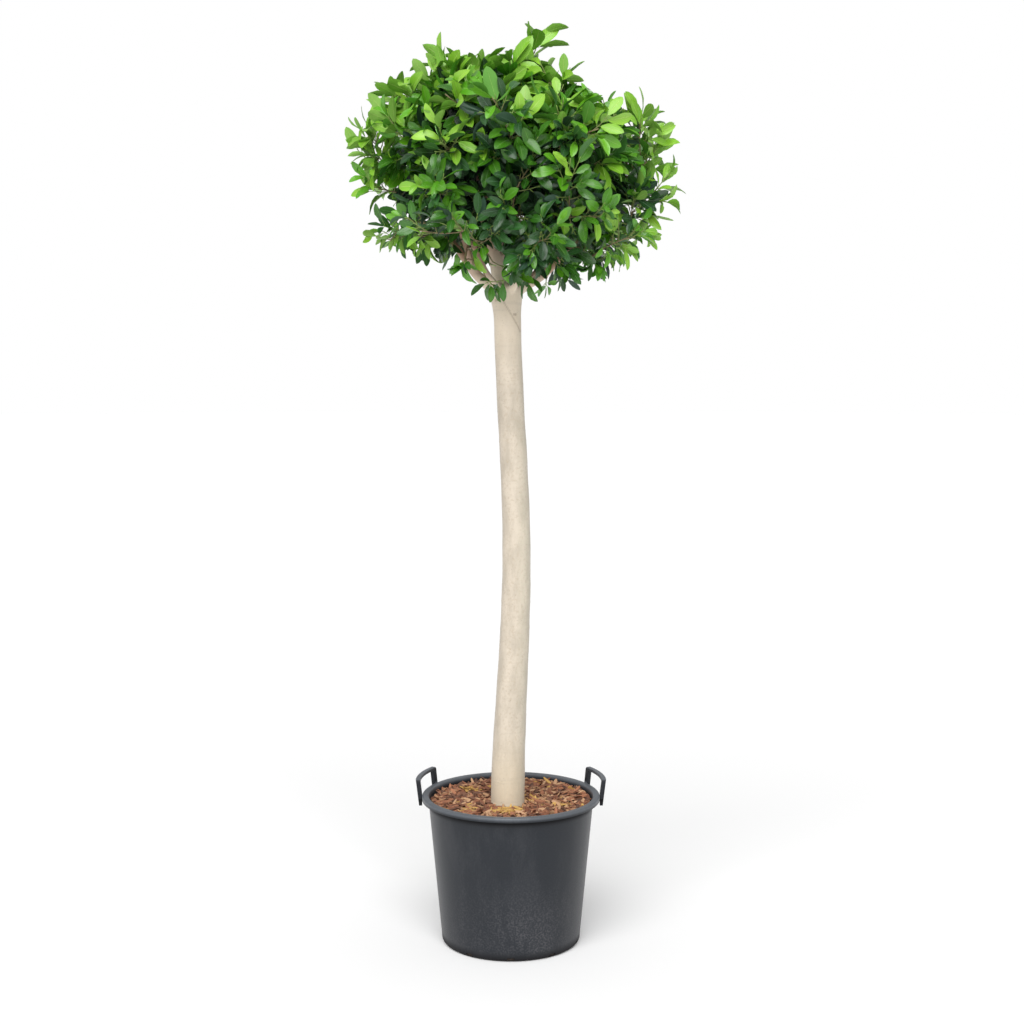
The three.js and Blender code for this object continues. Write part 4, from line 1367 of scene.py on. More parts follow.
@dataclass
class Skeleton:
    """Boughs and twigs of the crown, grown by the seeded rule of the solids."""

    trunk: Trunk
    centre: Array = field(default_factory=lambda: np.array([10.0, 0.0, 2125.0]))
    radii: Array = field(default_factory=lambda: np.array([450.0, 440.0, 350.0]))
    rings: tuple[Ring, ...] = (
        Ring("lower", SIDES, -12, 246, 14, 2008, -0.03, 200, 176, 0.075, 711),
        Ring("upper", SIDES, 12, 236, 2, 2212, -0.12, 196, 158, -0.03, 741),
        Ring("top", ("right", "left"), 0, 108, -20, 2326, -0.07, 180, 140, -0.04, 771),
    )
    thick_boughs: dict = field(default_factory=lambda: {"left": (17, 9), "right": (13, 8)})
    lower_bough: tuple = ((11, 7), 0.62, 0.42)
    leader_bough: tuple = ((20, 7), 0.72, 0.5)
    upper_bough: tuple = ((9, 6), 0.62, 0.55)
    side_fork: float = 0.5
    leader_forks: Pair = (0.2, 0.11)
    spread: float = 0.55
    fork_depth: float = 26
    fork_reach: float = 14
    fork_full_reach: float = 246
    shoots: int = 9
    candidates: int = 14
    tries: int = 60
    shoot_shares: Pair = (0.25, 0.72)
    margin: float = 8
    shell: float = 0.42
    stem_radius: float = 9.2
    stem_length: float = 30
    stem_joints: Row = (0.5, 0.9)
    twig_share: float = 0.47
    twig_least: float = 1.7
    twig_taper: float = 0.7
    twig_joints: Row = (0.4, 0.75)
    twig_tests: Row = (0.4, 0.6, 0.8, 1.0)
    path_weight: float = 0.3
    crown_foot: float = 1526
    bow_share: float = 0.05
    leaders: dict = field(default_factory=lambda: {
        "foliage_top_right": [[62, -20, 2440], [150, -40, 2345], [0, -60, 2372]],
        "foliage_top_left": [[-185, -30, 2398], [-85, -40, 2378]],
        "foliage_upper_left": [[-285, -60, 2300], [-360, -20, 2200], [-372, -20, 2150]],
        "foliage_upper_right": [[345, -20, 2258], [372, 10, 2160]],
        "foliage_lower_right": [[385, -20, 2075], [225, -90, 1882], [322, -64, 2036]],
        "foliage_lower_front_right": [[120, -170, 1880]],
        "foliage_lower_left": [[-300, -50, 1962], [-360, 10, 2085]],
        "foliage_lower_front_left": [[-120, -170, 1880]],
    })
    stem_stretches: int = 8
    bough_stretches: int = 5

    def __post_init__(self) -> None:
        """Lays out the masses, grows the boughs and notes the room that the limbs take."""
        self.masses = [mass for ring in self.rings for mass in self.ring_masses(ring)]
        self.boughs = self.grow_boughs()
        self.stretches = self.limb_stretches()

    def ring_masses(self, ring: Ring) -> list[Mass]:
        """The masses of one ring, each at its bearing, higher or lower with its place.

        Args:
            ring: The ring.

        Returns:
            Its masses.
        """
        masses = []
        for i, name in enumerate(ring.names):
            bearing = np.radians(ring.start + 360 / len(ring.names) * i)
            x = ring.middle + ring.reach * np.cos(bearing)
            place = np.array([x, ring.reach * np.sin(bearing), ring.height + ring.slope * x])
            radii = np.array([ring.radius, ring.radius, ring.depth + ring.depth_slope * x])
            full_name = f"foliage_{ring.level}_{name}"
            leaders = [np.array(end, float) for end in self.leaders.get(full_name, [])]
            weight = ((ring.radius + ring.depth) / 2) ** 2
            masses.append(Mass(full_name, place, radii, weight, leaders, ring.seed + i))
        return masses

    def plans(self) -> list[tuple]:
        """How each bough grows, parents first.

        Returns:
            Its name, mass, girth, entry, rise, parent if that isn't the trunk, and the share
            along the parent where it starts.
        """
        girth, entry, rise = self.lower_bough
        plans = []
        for side in SIDES:
            thick = self.thick_boughs.get(side, girth)
            plans.append((f"bough_{side}", f"foliage_lower_{side}", thick, entry, rise, None, 0))
        plans.append(("bough_leader", "foliage_top_left", *self.leader_bough, None, 0))
        forks = [(f"upper_{side}", f"bough_{side}", self.side_fork) for side in self.thick_boughs]
        thin = [f"upper_{side}" for side in SIDES if side not in self.thick_boughs]
        first, step = self.leader_forks
        forks += [(place, "bough_leader", first + step * i) for i, place in enumerate([*thin, "top_right"])]
        plans += [(f"bough_{place}", f"foliage_{place}", *self.upper_bough, parent, along)
                  for place, parent, along in forks]
        return plans

    def grow_boughs(self) -> list[Bough]:
        """Grows each bough from its root over a knee to where it enters its mass.

        Returns:
            The boughs, in the order of the plans.
        """
        grown = {}
        for name, mass_name, girth, entry, rise, parent, along in self.plans():
            mass = next(mass for mass in self.masses if mass.name == mass_name)
            start = grown[parent].at(along) if parent else self.root(mass)
            end = mix(start, mass.centre, entry)
            knee = mix(start, end, self.spread)
            knee[2] = mix(start[2], end[2], rise)
            grown[name] = Bough(name, mass, smooth_line(np.array([start, knee, end])), girth)
        return list(grown.values())

    def root(self, mass: Mass) -> Array:
        """Where a bough leaves the trunk: inside the fork, towards its own side.

        Args:
            mass: The mass that the bough carries.

        Returns:
            The place.
        """
        root = self.trunk.centre(np.array([self.trunk.fork - self.fork_depth]))[0]
        outwards = (mass.centre - root) * [1, 1, 0]
        lean = min(1, np.linalg.norm(outwards) / self.fork_full_reach)
        return root + unit(outwards) * self.fork_reach * lean

    def limb_stretches(self) -> tuple[Array, Array, Array]:
        """Straight stretches of the stem's top and the boughs: starts, ends and radii."""
        stem = self.trunk.centre(np.linspace(self.crown_foot, self.trunk.top, self.stem_stretches + 1))
        thick = np.full(self.stem_stretches, self.trunk.radius(np.array([self.trunk.dome]))[0])
        shares = np.linspace(0, 1, self.bough_stretches + 1)
        lines = [stem, *[bough.at(shares) for bough in self.boughs]]
        starts = np.vstack([line[:-1] for line in lines])
        ends = np.vstack([line[1:] for line in lines])
        radii = np.concatenate([thick, *[bough.radius(shares[:-1]) for bough in self.boughs]])
        return starts, ends, radii

    def touches_limb(self, places: Array, clearance: float) -> Array:
        """Whether the nearest point of any stretch is nearer than its radius and a clearance."""
        starts, ends, radii = self.stretches
        ways = ends - starts
        share = np.einsum("nmk,mk->nm", places[:, None] - starts, ways) / (ways ** 2).sum(1)
        nearest = starts + np.clip(share, 0, 1)[..., None] * ways
        return (np.linalg.norm(places[:, None] - nearest, axis=-1) < radii + clearance).any(1)

    def room_inside(self, place: Array, mass: Mass) -> float:
        """How far a place lies inside its mass's space, which ends at planes.

        On a plane the squared distances to both centres, each less its mass's weight, are
        equal, and the nearest plane counts.
        """
        own = ((place - mass.centre) ** 2).sum() - mass.weight
        return min(
            (((place - other.centre) ** 2).sum() - other.weight - own)
            / (2 * np.linalg.norm(mass.centre - other.centre))
            for other in self.masses if other is not mass
        )

    def random_place(self, mass: Mass, chance: Chance) -> Array:
        """A place in a mass: a direction even over the sphere, times a share of its radii."""
        turn = 2 * np.pi * chance.next()
        level = 2 * chance.next() - 1
        flat = np.sqrt(1 - level * level)
        share = mix(*self.shoot_shares, np.sqrt(chance.next()))
        return np.array([flat * np.cos(turn), flat * np.sin(turn), level]) * mass.radii * share + mass.centre

    def fits(self, place: Array, mass: Mass) -> bool:
        """Whether a shoot may end there: far enough out, in its mass's space, clear of limbs."""
        outer = np.linalg.norm((place - self.centre) / self.radii) > self.shell
        inside = self.room_inside(place, mass) > self.margin
        return bool(outer and inside and not self.touches_limb(place[None], self.margin)[0])

    def shoot_ends(self, mass: Mass, chance: Chance) -> list[Array]:
        """Where shoots end: the long ones first, then always the candidate with most room."""
        ends = list(mass.leaders)
        while len(ends) < self.shoots:
            candidates = []
            for _ in range(self.tries):
                place = self.random_place(mass, chance)
                if self.fits(place, mass):
                    candidates.append(place)
                if len(candidates) == self.candidates:
                    break
            if not candidates:
                break
            rooms = [min([np.linalg.norm(end - place) for end in ends], default=np.inf)
                     for place in candidates]
            ends.append(candidates[int(np.argmax(rooms))])
        return ends

    def twigs(self, bough: Bough) -> list[Twig]:
        """Twigs of a bough's mass: a stem, and one twig to each shoot's end.

        Each starts at the joint, on the twigs so far, that gives the shortest way, and is
        thinner than its parent.

        Args:
            bough: The bough that ends in the mass.

        Returns:
            The stem and then the twigs.
        """
        mass, tip = bough.mass, bough.line[-1]
        knot = tip + bough.forward() * self.stem_length
        girth = (self.stem_radius, self.stem_radius * self.twig_taper)
        stem = Twig(tip, knot, np.zeros(3), girth, mass=mass)
        twigs, joints = [stem], self.joints(stem, self.stem_joints, 0, tip)
        bows = np.random.default_rng(mass.seed)
        ends = self.shoot_ends(mass, Chance(mass.seed))
        for end in sorted(ends, key=lambda place: np.linalg.norm(place - knot)):
            costs = [np.linalg.norm(end - joint[0]) + self.path_weight * joint[2] for joint in joints]
            place, radius, travelled, start = joints[int(np.argmin(costs))]
            tests = mix(place, end, np.array(self.twig_tests)[:, None])
            if self.touches_limb(tests, self.stem_radius).any():
                continue
            thick = max(self.twig_least, radius * self.twig_share)
            bow = bows.normal(0, self.bow_share, 3) * np.linalg.norm(end - start)
            leader = any(end is other for other in mass.leaders)
            twig = Twig(start, end, bow, (thick, max(self.twig_least, thick * self.twig_taper)), leader, mass)
            twigs.append(twig)
            joints += self.joints(twig, self.twig_joints, travelled, place)
        return twigs

    def joints(self, twig: Twig, shares: Row, travelled: float, first: Array) -> list[tuple]:
        """Places on a twig where others can start.

        Args:
            twig: The twig that bears them.
            shares: How far along it they lie.
            travelled: The way from the bough's tip to the twig.
            first: Where the twig starts if nothing is bowed.

        Returns:
            For each joint its unbowed place, radius, way from the bough's tip, and real place.
        """
        length = np.linalg.norm(twig.end - first)
        return [
            (mix(first, twig.end, share), mix(*twig.radii, share), travelled + share * length, twig.at(share))
            for share in shares
        ]


class LeafKind(Enum):
    """Leaves by age and by painted light and shade, brightest first."""

    YOUNG = 0
    LIT = 1
    HALF_LIT = 2
    DEEP = 3
    SHADE = 4


# Each kind's colours paint the light it gets: the brighter kinds are painted light, the deep and shade kinds
# painted shade.
LEAF_FINISHES = {
    LeafKind.YOUNG: LeafFinish("young", rgb(0.13, 0.36, 0.012), rgb(0.30, 0.58, 0.045),
                               rgb(0.55, 0.72, 0.20), rgb(0.30, 0.50, 0.12), 0.34),
    LeafKind.LIT: LeafFinish("lit", rgb(0.055, 0.25, 0.005), rgb(0.16, 0.45, 0.012),
                               rgb(0.30, 0.55, 0.12), rgb(0.16, 0.36, 0.07), 0.30),
    LeafKind.HALF_LIT: LeafFinish("half_lit", rgb(0.014, 0.085, 0.003), rgb(0.100, 0.34, 0.010),
                                rgb(0.20, 0.42, 0.10), rgb(0.09, 0.24, 0.06), 0.27),
    LeafKind.DEEP: LeafFinish("deep", rgb(0.004, 0.028, 0.002), rgb(0.048, 0.20, 0.010),
                              rgb(0.12, 0.28, 0.09), rgb(0.05, 0.15, 0.05), 0.25),
    # The shade kind's darkest, slightly bluer green is painted shade with a trace of painted sheen.
    LeafKind.SHADE: LeafFinish("shade", rgb(0.003, 0.020, 0.004), rgb(0.040, 0.155, 0.026),
                               rgb(0.14, 0.27, 0.16), rgb(0.07, 0.16, 0.10), 0.28),
}


@dataclass
class Foliage:
    """Sprays of leaves on fine side shoots, which carry the solids' twigs further."""

    skeleton: Skeleton
    seed: int = 90
    spray_length: Pair = (30, 70)
    spray_spread: Pair = (10, 88)
    spray_chance: float = 7
    spray_start: float = 0.38
    spray_rise: float = 10
    spray_radius: float = 1.7
    spray_taper: float = 0.6
    leaves: int = 7
    fewest_leaves: int = 3
    leaf_start: float = 0.3
    leaf_length: Pair = (45, 74)
    leaf_heights: Pair = (1850, 2420)
    leaf_variation: float = 0.3
    leaf_width: float = 0.46
    leaf_thickness: float = 0.9
    leaf_spread: Pair = (76, 20)
    spread_chance: float = 10
    leaf_turn: float = 0.72
    droop: Pair = (0.08, 0.7)
    droop_below: Pair = (-0.75, -0.25)
    bend: Pair = (28, 18)
    fold: Pair = (19, 9)
    twist: float = 12
    lit_depths: Pair = (0.45, 0.85)
    tone_shares: Pair = (0.6, 0.4)
    stalk: Pair = (6, 12)
    stalk_into: float = 2
    stalk_radii: Pair = (1.0, 0.7)
    lift: float = 0.6
    stations: Row = (0.07, 0.25, 0.5, 0.75, 0.92)
    columns: Row = (-1, 0, 1)
    outline_powers: Pair = (1.12, 0.64)
    least_bend: float = 0.02
    ripple: float = 0.05
    ripples: float = 2.2
    edges: Pair = (0.6, 0.95)
    fronts: Pair = (0.2, 0.8)
    light_heights: Pair = (1850, 2410)
    height_light: float = 0.84
    depth_light: float = 0.8
    lit_depth: float = 0.75
    base_light: float = -0.14
    edge_light: float = 0.40
    front_light: float = -0.06
    leader_light: float = 0.15
    light_chance: Pair = (-0.01, 0.29)
    new_growth: Pair = (0.4, 0.08)
    kind_lights: Row = (0.62, 0.40, 0.20, 0.02)
    clearings: tuple[Row, ...] = (
        (-172, -190, 1912, 105, 150, 42),
        (95, -60, 1844, 62, 130, 24),
        (330, 0, 2450, 200, 500, 135),
        (-140, 0, 2560, 215, 500, 120),
        (-110, 0, 2500, 55, 500, 75),
        (-10, 0, 2520, 55, 500, 90),
        (-425, 0, 1870, 115, 400, 80),
        (-380, 0, 2440, 115, 500, 90),
        (-290, -100, 1800, 190, 400, 100),
        (395, 0, 1825, 140, 400, 85),
        (428, 0, 2340, 75, 500, 38),
    )
    hanging: tuple[Row, ...] = (
        (-4, -150, 1838), (-66, -120, 1842), (18, -165, 1882), (96, 20, 1842), (228, -100, 1848),
        (-100, -110, 1876), (-48, -140, 1882), (42, -140, 1886),
        (-326, -60, 1930),
    )
    hanging_bow: float = 18
    hanging_radii: Pair = (2.2, 1.5)
    hanging_drop: float = 10
    rise_cost: float = 200
    reach: float = 1.04
    limb_gap: float = 3
    box_margin: float = 6
    thinning: float = 0.3
    hollows: Triple = (128, 150, 112)
    hollow_least: float = 0.4

    def build(self) -> None:
        """Grows twigs, sprays and leaves, and builds one piece for each kind."""
        twigs = [twig for bough in self.skeleton.boughs for twig in self.skeleton.twigs(bough)]
        twigs += self.hanging_twigs(twigs)
        random = np.random.default_rng(self.seed)
        sprays = self.grow_sprays(twigs, random)
        sprays, leaves = self.leafy(sprays, self.grow_leaves(sprays, random))
        self.build_twigs(twigs)
        self.build_side_shoots(sprays)
        self.build_stalks(leaves)
        for kind, finish in LEAF_FINISHES.items():
            chosen = {name: values[leaves["kind"] == kind.value] for name, values in leaves.items()}
            LOG.info("%d %s leaves", len(chosen["size"]), finish.name)
            self.add("leaves_" + finish.name, self.blades(chosen), Slot.LEAF, finish.upper(), finish.lower())

    def add(self, name: str, shape: Shape, slot: Slot, *finishes: Material) -> None:
        """Adds a piece that stands for all masses of leaves."""
        nodes = [mass.name for mass in self.skeleton.masses]
        add_piece(name, shape.mesh(name), slot, nodes, *finishes)

    def hanging_twigs(self, twigs: list[Twig]) -> list[Twig]:
        """Thin twigs that arch down to named places round the fork, each from the nearest twig."""
        shares = np.linspace(0.2, 0.9, 8)
        places = np.array([twig.at(shares) for twig in twigs]).reshape(-1, 3)
        hanging = []
        for tip in np.array(self.hanging, float):
            low = places[:, 2] < tip[2] + self.hanging_drop
            nearest = int(np.argmin(np.linalg.norm(places - tip, axis=1) + self.rise_cost * low))
            mass = twigs[nearest // len(shares)].mass
            bow = UP * self.hanging_bow
            hanging.append(Twig(places[nearest], tip, bow, self.hanging_radii, True, mass, 1))
        return hanging

    def leafy(self, sprays: Table, leaves: Table) -> tuple[Table, Table]:
        """Drops the sprays that have too few leaves left, with those leaves."""
        full = np.bincount(leaves["spray"], minlength=len(sprays["start"])) >= self.fewest_leaves
        stays = full[leaves["spray"]]
        return ({name: values[full] for name, values in sprays.items()},
                {name: values[stays] for name, values in leaves.items()})

    def grow_sprays(self, twigs: list[Twig], random: Random) -> Table:
        """Side shoots round the outer part of each twig, fanned out by the golden angle.

        Args:
            twigs: The twigs that bear them.
            random: The source of chance.

        Returns:
            For each spray its start, its direction, its length, the way outwards there, its
            twig's radius and whether it is on a long shoot.
        """
        rows = []
        for twig in twigs:
            back = unit(twig.start - twig.end)
            outwards = unit(unit(twig.end - self.skeleton.centre) + UP)
            axis = unit(outwards * self.lift - back)
            side, front = across(axis)
            turn = random.random() * 2 * np.pi
            for i in range(twig.sprays):
                share = i / max(1, twig.sprays - 1)
                spread = np.radians(mix(*self.spray_spread, share) + random.normal(0, self.spray_chance))
                direction = swung(axis, swung(side, front, turn + i * GOLDEN_ANGLE), spread)
                start = twig.at(mix(1.0, self.spray_start, share))
                length = mix(*self.spray_length, random.random())
                rows.append((start, direction, length, outwards, twig.radii[1], float(twig.leader)))
        names = ("start", "direction", "length", "outwards", "radius", "leader")
        return {name: np.array([row[i] for row in rows]) for i, name in enumerate(names)}

    def spray_at(self, sprays: Table, share: Array) -> Array:
        """Places along sprays: straight out, and bent up by the square of the share."""
        out = sprays["direction"] * (sprays["length"] * share)[:, None]
        return sprays["start"] + out + UP * (self.spray_rise * share ** 2)[:, None]

    def grow_leaves(self, sprays: Table, random: Random) -> Table:
        """Leaves round each spray by the golden angle, from its middle to its tip.

        Args:
            sprays: The sprays.
            random: The source of chance.

        Returns:
            For each leaf its stalk's foot, its root, the way it points, its face, its size,
            its bend, its fold, its twist and its spray's number, kind and tone.
        """
        count = len(sprays["start"])
        kind = self.kinds(sprays, random)
        spray_tone = random.random(count)
        start_turn = random.random(count) * 2 * np.pi
        axis = sprays["direction"]
        side, front = across(axis)
        hang = ease(-sprays["outwards"][:, 2], *self.droop_below)[:, None]
        parts = []
        for i in range(self.leaves):
            share = np.full(count, mix(self.leaf_start, 1.0, i / (self.leaves - 1)))
            spread = np.radians(mix(*self.leaf_spread, share) + random.normal(0, self.spread_chance, count))
            way = swung(axis, swung(side, front, start_turn + i * GOLDEN_ANGLE), spread)
            way = unit(way - UP * (self.droop[0] + self.droop[1] * hang * random.random((count, 1))))
            face = sprays["outwards"] + random.normal(0, self.leaf_turn, (count, 3))
            face = unit(face - way * (face * way).sum(1, keepdims=True))
            foot = self.spray_at(sprays, share)
            stalk = mix(*self.stalk, random.random(count))[:, None]
            size = mix(*self.leaf_length, ease(foot[:, 2], *self.leaf_heights))
            size = size * (1 + self.leaf_variation * (2 * random.random(count) - 1))
            bend = np.radians(random.normal(*self.bend, count))
            fold = np.radians(np.abs(random.normal(*self.fold, count)))
            twist = np.radians(random.normal(0, self.twist, count))
            tone = spray_tone * self.tone_shares[0] + random.random(count) * self.tone_shares[1]
            parts.append({
                "foot": foot, "root": foot + way * stalk, "way": way, "face": face, "size": size,
                "bend": bend, "fold": fold, "twist": twist, "kind": kind,
                # The tone fades towards the crown's middle: painted shade inside the crown.
                "tone": tone * ease(self.depth(foot), *self.lit_depths),
                "leader": sprays["leader"], "spray": np.arange(count),
            })
        leaves = {name: np.concatenate([part[name] for part in parts]) for name in parts[0]}
        kept = self.leaf_fits(leaves)
        return {name: values[kept] for name, values in leaves.items()}

    def kinds(self, sprays: Table, random: Random) -> Array:
        """The kind of each spray's leaves, by the light that it gets, which their colour paints.

        There is more light higher up, further out, near the outline and on long shoots, and
        some sprays are new growth.
        """
        tips = self.spray_at(sprays, np.ones(len(sprays["start"])))
        front = ease(-(tips - self.skeleton.centre)[:, 1] / self.skeleton.radii[1], *self.fronts)
        low, high = self.light_heights
        light = self.height_light * (tips[:, 2] - low) / (high - low) + self.base_light
        light += self.depth_light * (self.depth(tips) - self.lit_depth)
        light += self.edge_light * self.edge(tips) + self.front_light * front
        light += self.leader_light * sprays["leader"]
        light += random.normal(*self.light_chance, len(light))
        light += self.new_growth[0] * (random.random(len(light)) < self.new_growth[1])
        return np.digitize(-light, -np.array(self.kind_lights))

    def depth(self, places: Array) -> Array:
        """How far places lie from the crown's middle, as a share of its radii there."""
        return np.linalg.norm((places - self.skeleton.centre) / self.skeleton.radii, axis=1)

    def edge(self, places: Array) -> Array:
        """How near places are to the crown's outline as seen from the front, from 0 to 1."""
        shares = (places - self.skeleton.centre) / self.skeleton.radii
        return ease(np.hypot(shares[:, 0], shares[:, 2]), *self.edges)

    def leaf_fits(self, leaves: Table) -> Array:
        """Which leaves stay: within the crown's reach, and clear of limbs and open places.

        Open are the clearings, which are ellipsoids, a share of the outline by chance, and
        hollows where a product of three sines is high.
        """
        tips = leaves["root"] + leaves["way"] * leaves["size"][:, None]
        middles = (leaves["root"] + tips) / 2
        shares = [np.linalg.norm((tips - mass.centre) / mass.radii, axis=1) for mass in self.skeleton.masses]
        within = (np.min(shares, axis=0) < self.reach) | (leaves["leader"] > 0)
        touching = [self.skeleton.touches_limb(places, self.limb_gap) for places in (middles, tips)]
        low, high = (np.array(corner) / MM for corner in SOLIDS_BOX)
        boxed = ((tips > low - self.box_margin) & (tips < high + self.box_margin)).all(1)
        bare = np.random.default_rng(self.seed).random(len(tips)) < self.thinning * self.edge(middles)
        for x, y, z, *radii in self.clearings:
            bare |= (((middles - [x, y, z]) / radii) ** 2).sum(1) < 1
        hollow = np.sin(2 * np.pi * middles / self.hollows).prod(1) > self.hollow_least
        bare |= hollow & (leaves["leader"] == 0)
        return within & boxed & ~(touching[0] | touching[1] | bare)

    def build_twigs(self, twigs: list[Twig]) -> None:
        """Builds the twigs as one piece of round tubes.

        Args:
            twigs: The twigs.
        """
        share = np.linspace(0, 1, 7)
        paths = np.array([twig.at(share) for twig in twigs])
        radii = np.array([mix(*twig.radii, share) for twig in twigs])
        finish = TwigFinish("twig_bark", rgb(0.24, 0.15, 0.09), rgb(0.22, 0.20, 0.09))
        self.add("twigs", tubes(paths, radii, 6), Slot.BARK, finish.material())

    def build_side_shoots(self, sprays: Table) -> None:
        """Builds the sprays' shoots as one piece of round tubes, as thin as their twigs or less.

        Args:
            sprays: The sprays.
        """
        count = len(sprays["start"])
        steps = np.linspace(0, 1, 5)
        paths = np.stack([self.spray_at(sprays, np.full(count, step)) for step in steps], 1)
        radii = np.minimum(sprays["radius"], self.spray_radius)[:, None] * mix(1.0, self.spray_taper, steps)
        finish = TwigFinish("young_twig_bark", rgb(0.17, 0.15, 0.07), rgb(0.20, 0.33, 0.06))
        self.add("side_shoots", tubes(paths, radii, 5), Slot.BARK, finish.material())

    def build_stalks(self, leaves: Table) -> None:
        """Builds the leaves' stalks as one piece, each from its shoot into its leaf.

        Args:
            leaves: The leaves.
        """
        into = leaves["root"] + leaves["way"] * self.stalk_into
        paths = np.stack([leaves["foot"], into], 1)
        radii = np.broadcast_to(self.stalk_radii, (len(into), 2))
        finish = TwigFinish("leaf_stalks", rgb(0.22, 0.36, 0.06), rgb(0.34, 0.48, 0.12))
        self.add("leaf_stalks", tubes(paths, radii, 4), Slot.LEAF, finish.material())

    def blades(self, leaves: Table) -> Shape:
        """Leaf blades: thin closed lenses in the leaf's own outline.

        Half the width is the sine of pi times a power of the share along, itself raised to a
        power. The midrib follows an arc, the two halves are folded up from it and ripple a
        little, and the face twists along it.

        Args:
            leaves: The leaves.

        Returns:
            All blades in one shape, whose second finish is on the undersides.
        """
        count = len(leaves["size"])
        along = np.array([0.0, *self.stations, 1.0])
        size, bend = leaves["size"][:, None], leaves["bend"][:, None]
        way, face = leaves["way"][:, None], leaves["face"][:, None]
        inner, outer = self.outline_powers
        half = size * self.leaf_width / 2 * np.maximum(0, np.sin(np.pi * along ** inner)) ** outer
        safe = np.where(np.abs(bend) < self.least_bend, self.least_bend, bend)
        forward = size * np.sin(safe * along) / safe
        drop = -size * (1 - np.cos(safe * along)) / safe
        spine = leaves["root"][:, None] + way * forward[..., None] + face * drop[..., None]
        sideways = np.cross(face, way)
        twist = leaves["twist"][:, None] * along
        over, above = swung(sideways, face, twist), swung(face, -sideways, twist)
        columns = np.array(self.columns)
        fold = leaves["fold"][:, None, None]
        out = half[:, :, None] * columns * np.cos(fold)
        wave = self.ripple * np.sin(2 * np.pi * (self.ripples * along + leaves["tone"][:, None]))
        lift = half[:, :, None] * (np.abs(columns) * np.sin(fold) + wave[:, :, None] * columns)
        top = spine[:, :, None] + over[:, :, None] * out[..., None] + above[:, :, None] * lift[..., None]
        under = spine - above * self.leaf_thickness
        rings = np.concatenate([top[:, 1:-1], under[:, 1:-1, None]], 2)
        rows, width = rings.shape[1:3]
        places = np.concatenate([spine[:, :1], spine[:, -1:], rings.reshape(count, -1, 3)], 1)
        corners = places.shape[1]
        groups = self.blade_faces(rows, width)
        faces = [face for group in groups for face in repeated(group, count, corners)]
        second = np.repeat([0, 0, 1, 1], [len(group) * count for group in groups])
        sharp = np.ones(corners, bool)
        sharp[2:] = np.tile([True, *[False] * (len(columns) - 2), True, False], rows)
        tone = np.repeat(leaves["tone"], corners)
        return Shape(places.reshape(-1, 3), faces, np.tile(self.blade_uv(), (count, 1)), {"tone": tone},
                     np.tile(sharp, count), second)

    def blade_faces(self, rows: int, width: int) -> list[Array]:
        """Faces of one blade, whose corners are its root, its tip and then the rows.

        Args:
            rows: Rows of corners between the root and the tip.
            width: Corners in a row, the one under the midrib last.

        Returns:
            Quads and end triangles of the upper side, and the same of the underside.
        """
        tops = width - 1
        row, column = np.meshgrid(np.arange(rows - 1), np.arange(tops - 1), indexing="ij")
        here = (2 + row * width + column).ravel()
        upper = np.stack([here, here + width, here + width + 1, here + 1], -1)
        order = np.array([0, tops, tops - 1])
        base = 2 + width * np.arange(rows - 1)[:, None]
        left, right = (base + order[:-1]).ravel(), (base + order[1:]).ravel()
        lower = np.stack([left, right, right + width, left + width], -1)
        far = (rows - 1) * width
        first, last = 2 + np.arange(tops - 1), 2 + far + np.arange(tops - 1)
        root, tip = np.zeros(tops - 1, int), np.ones(tops - 1, int)
        upper_ends = np.vstack([np.stack([root, first, first + 1], -1), np.stack([last, tip, last + 1], -1)])
        near_left, near_middle, near_right = 2 + order
        lower_ends = np.array([
            [0, near_middle, near_left], [0, near_right, near_middle],
            [far + near_middle, 1, far + near_left], [far + near_right, 1, far + near_middle],
        ])
        return [upper, upper_ends, lower, lower_ends]

    def blade_uv(self) -> Array:
        """Share along and across the blade for each of its corners."""
        over = np.array([*[(1 + column) / 2 for column in self.columns], 0.5])
        return np.vstack([[[0, 0.5], [1, 0.5]], grid_uv(np.array(self.stations), over)])


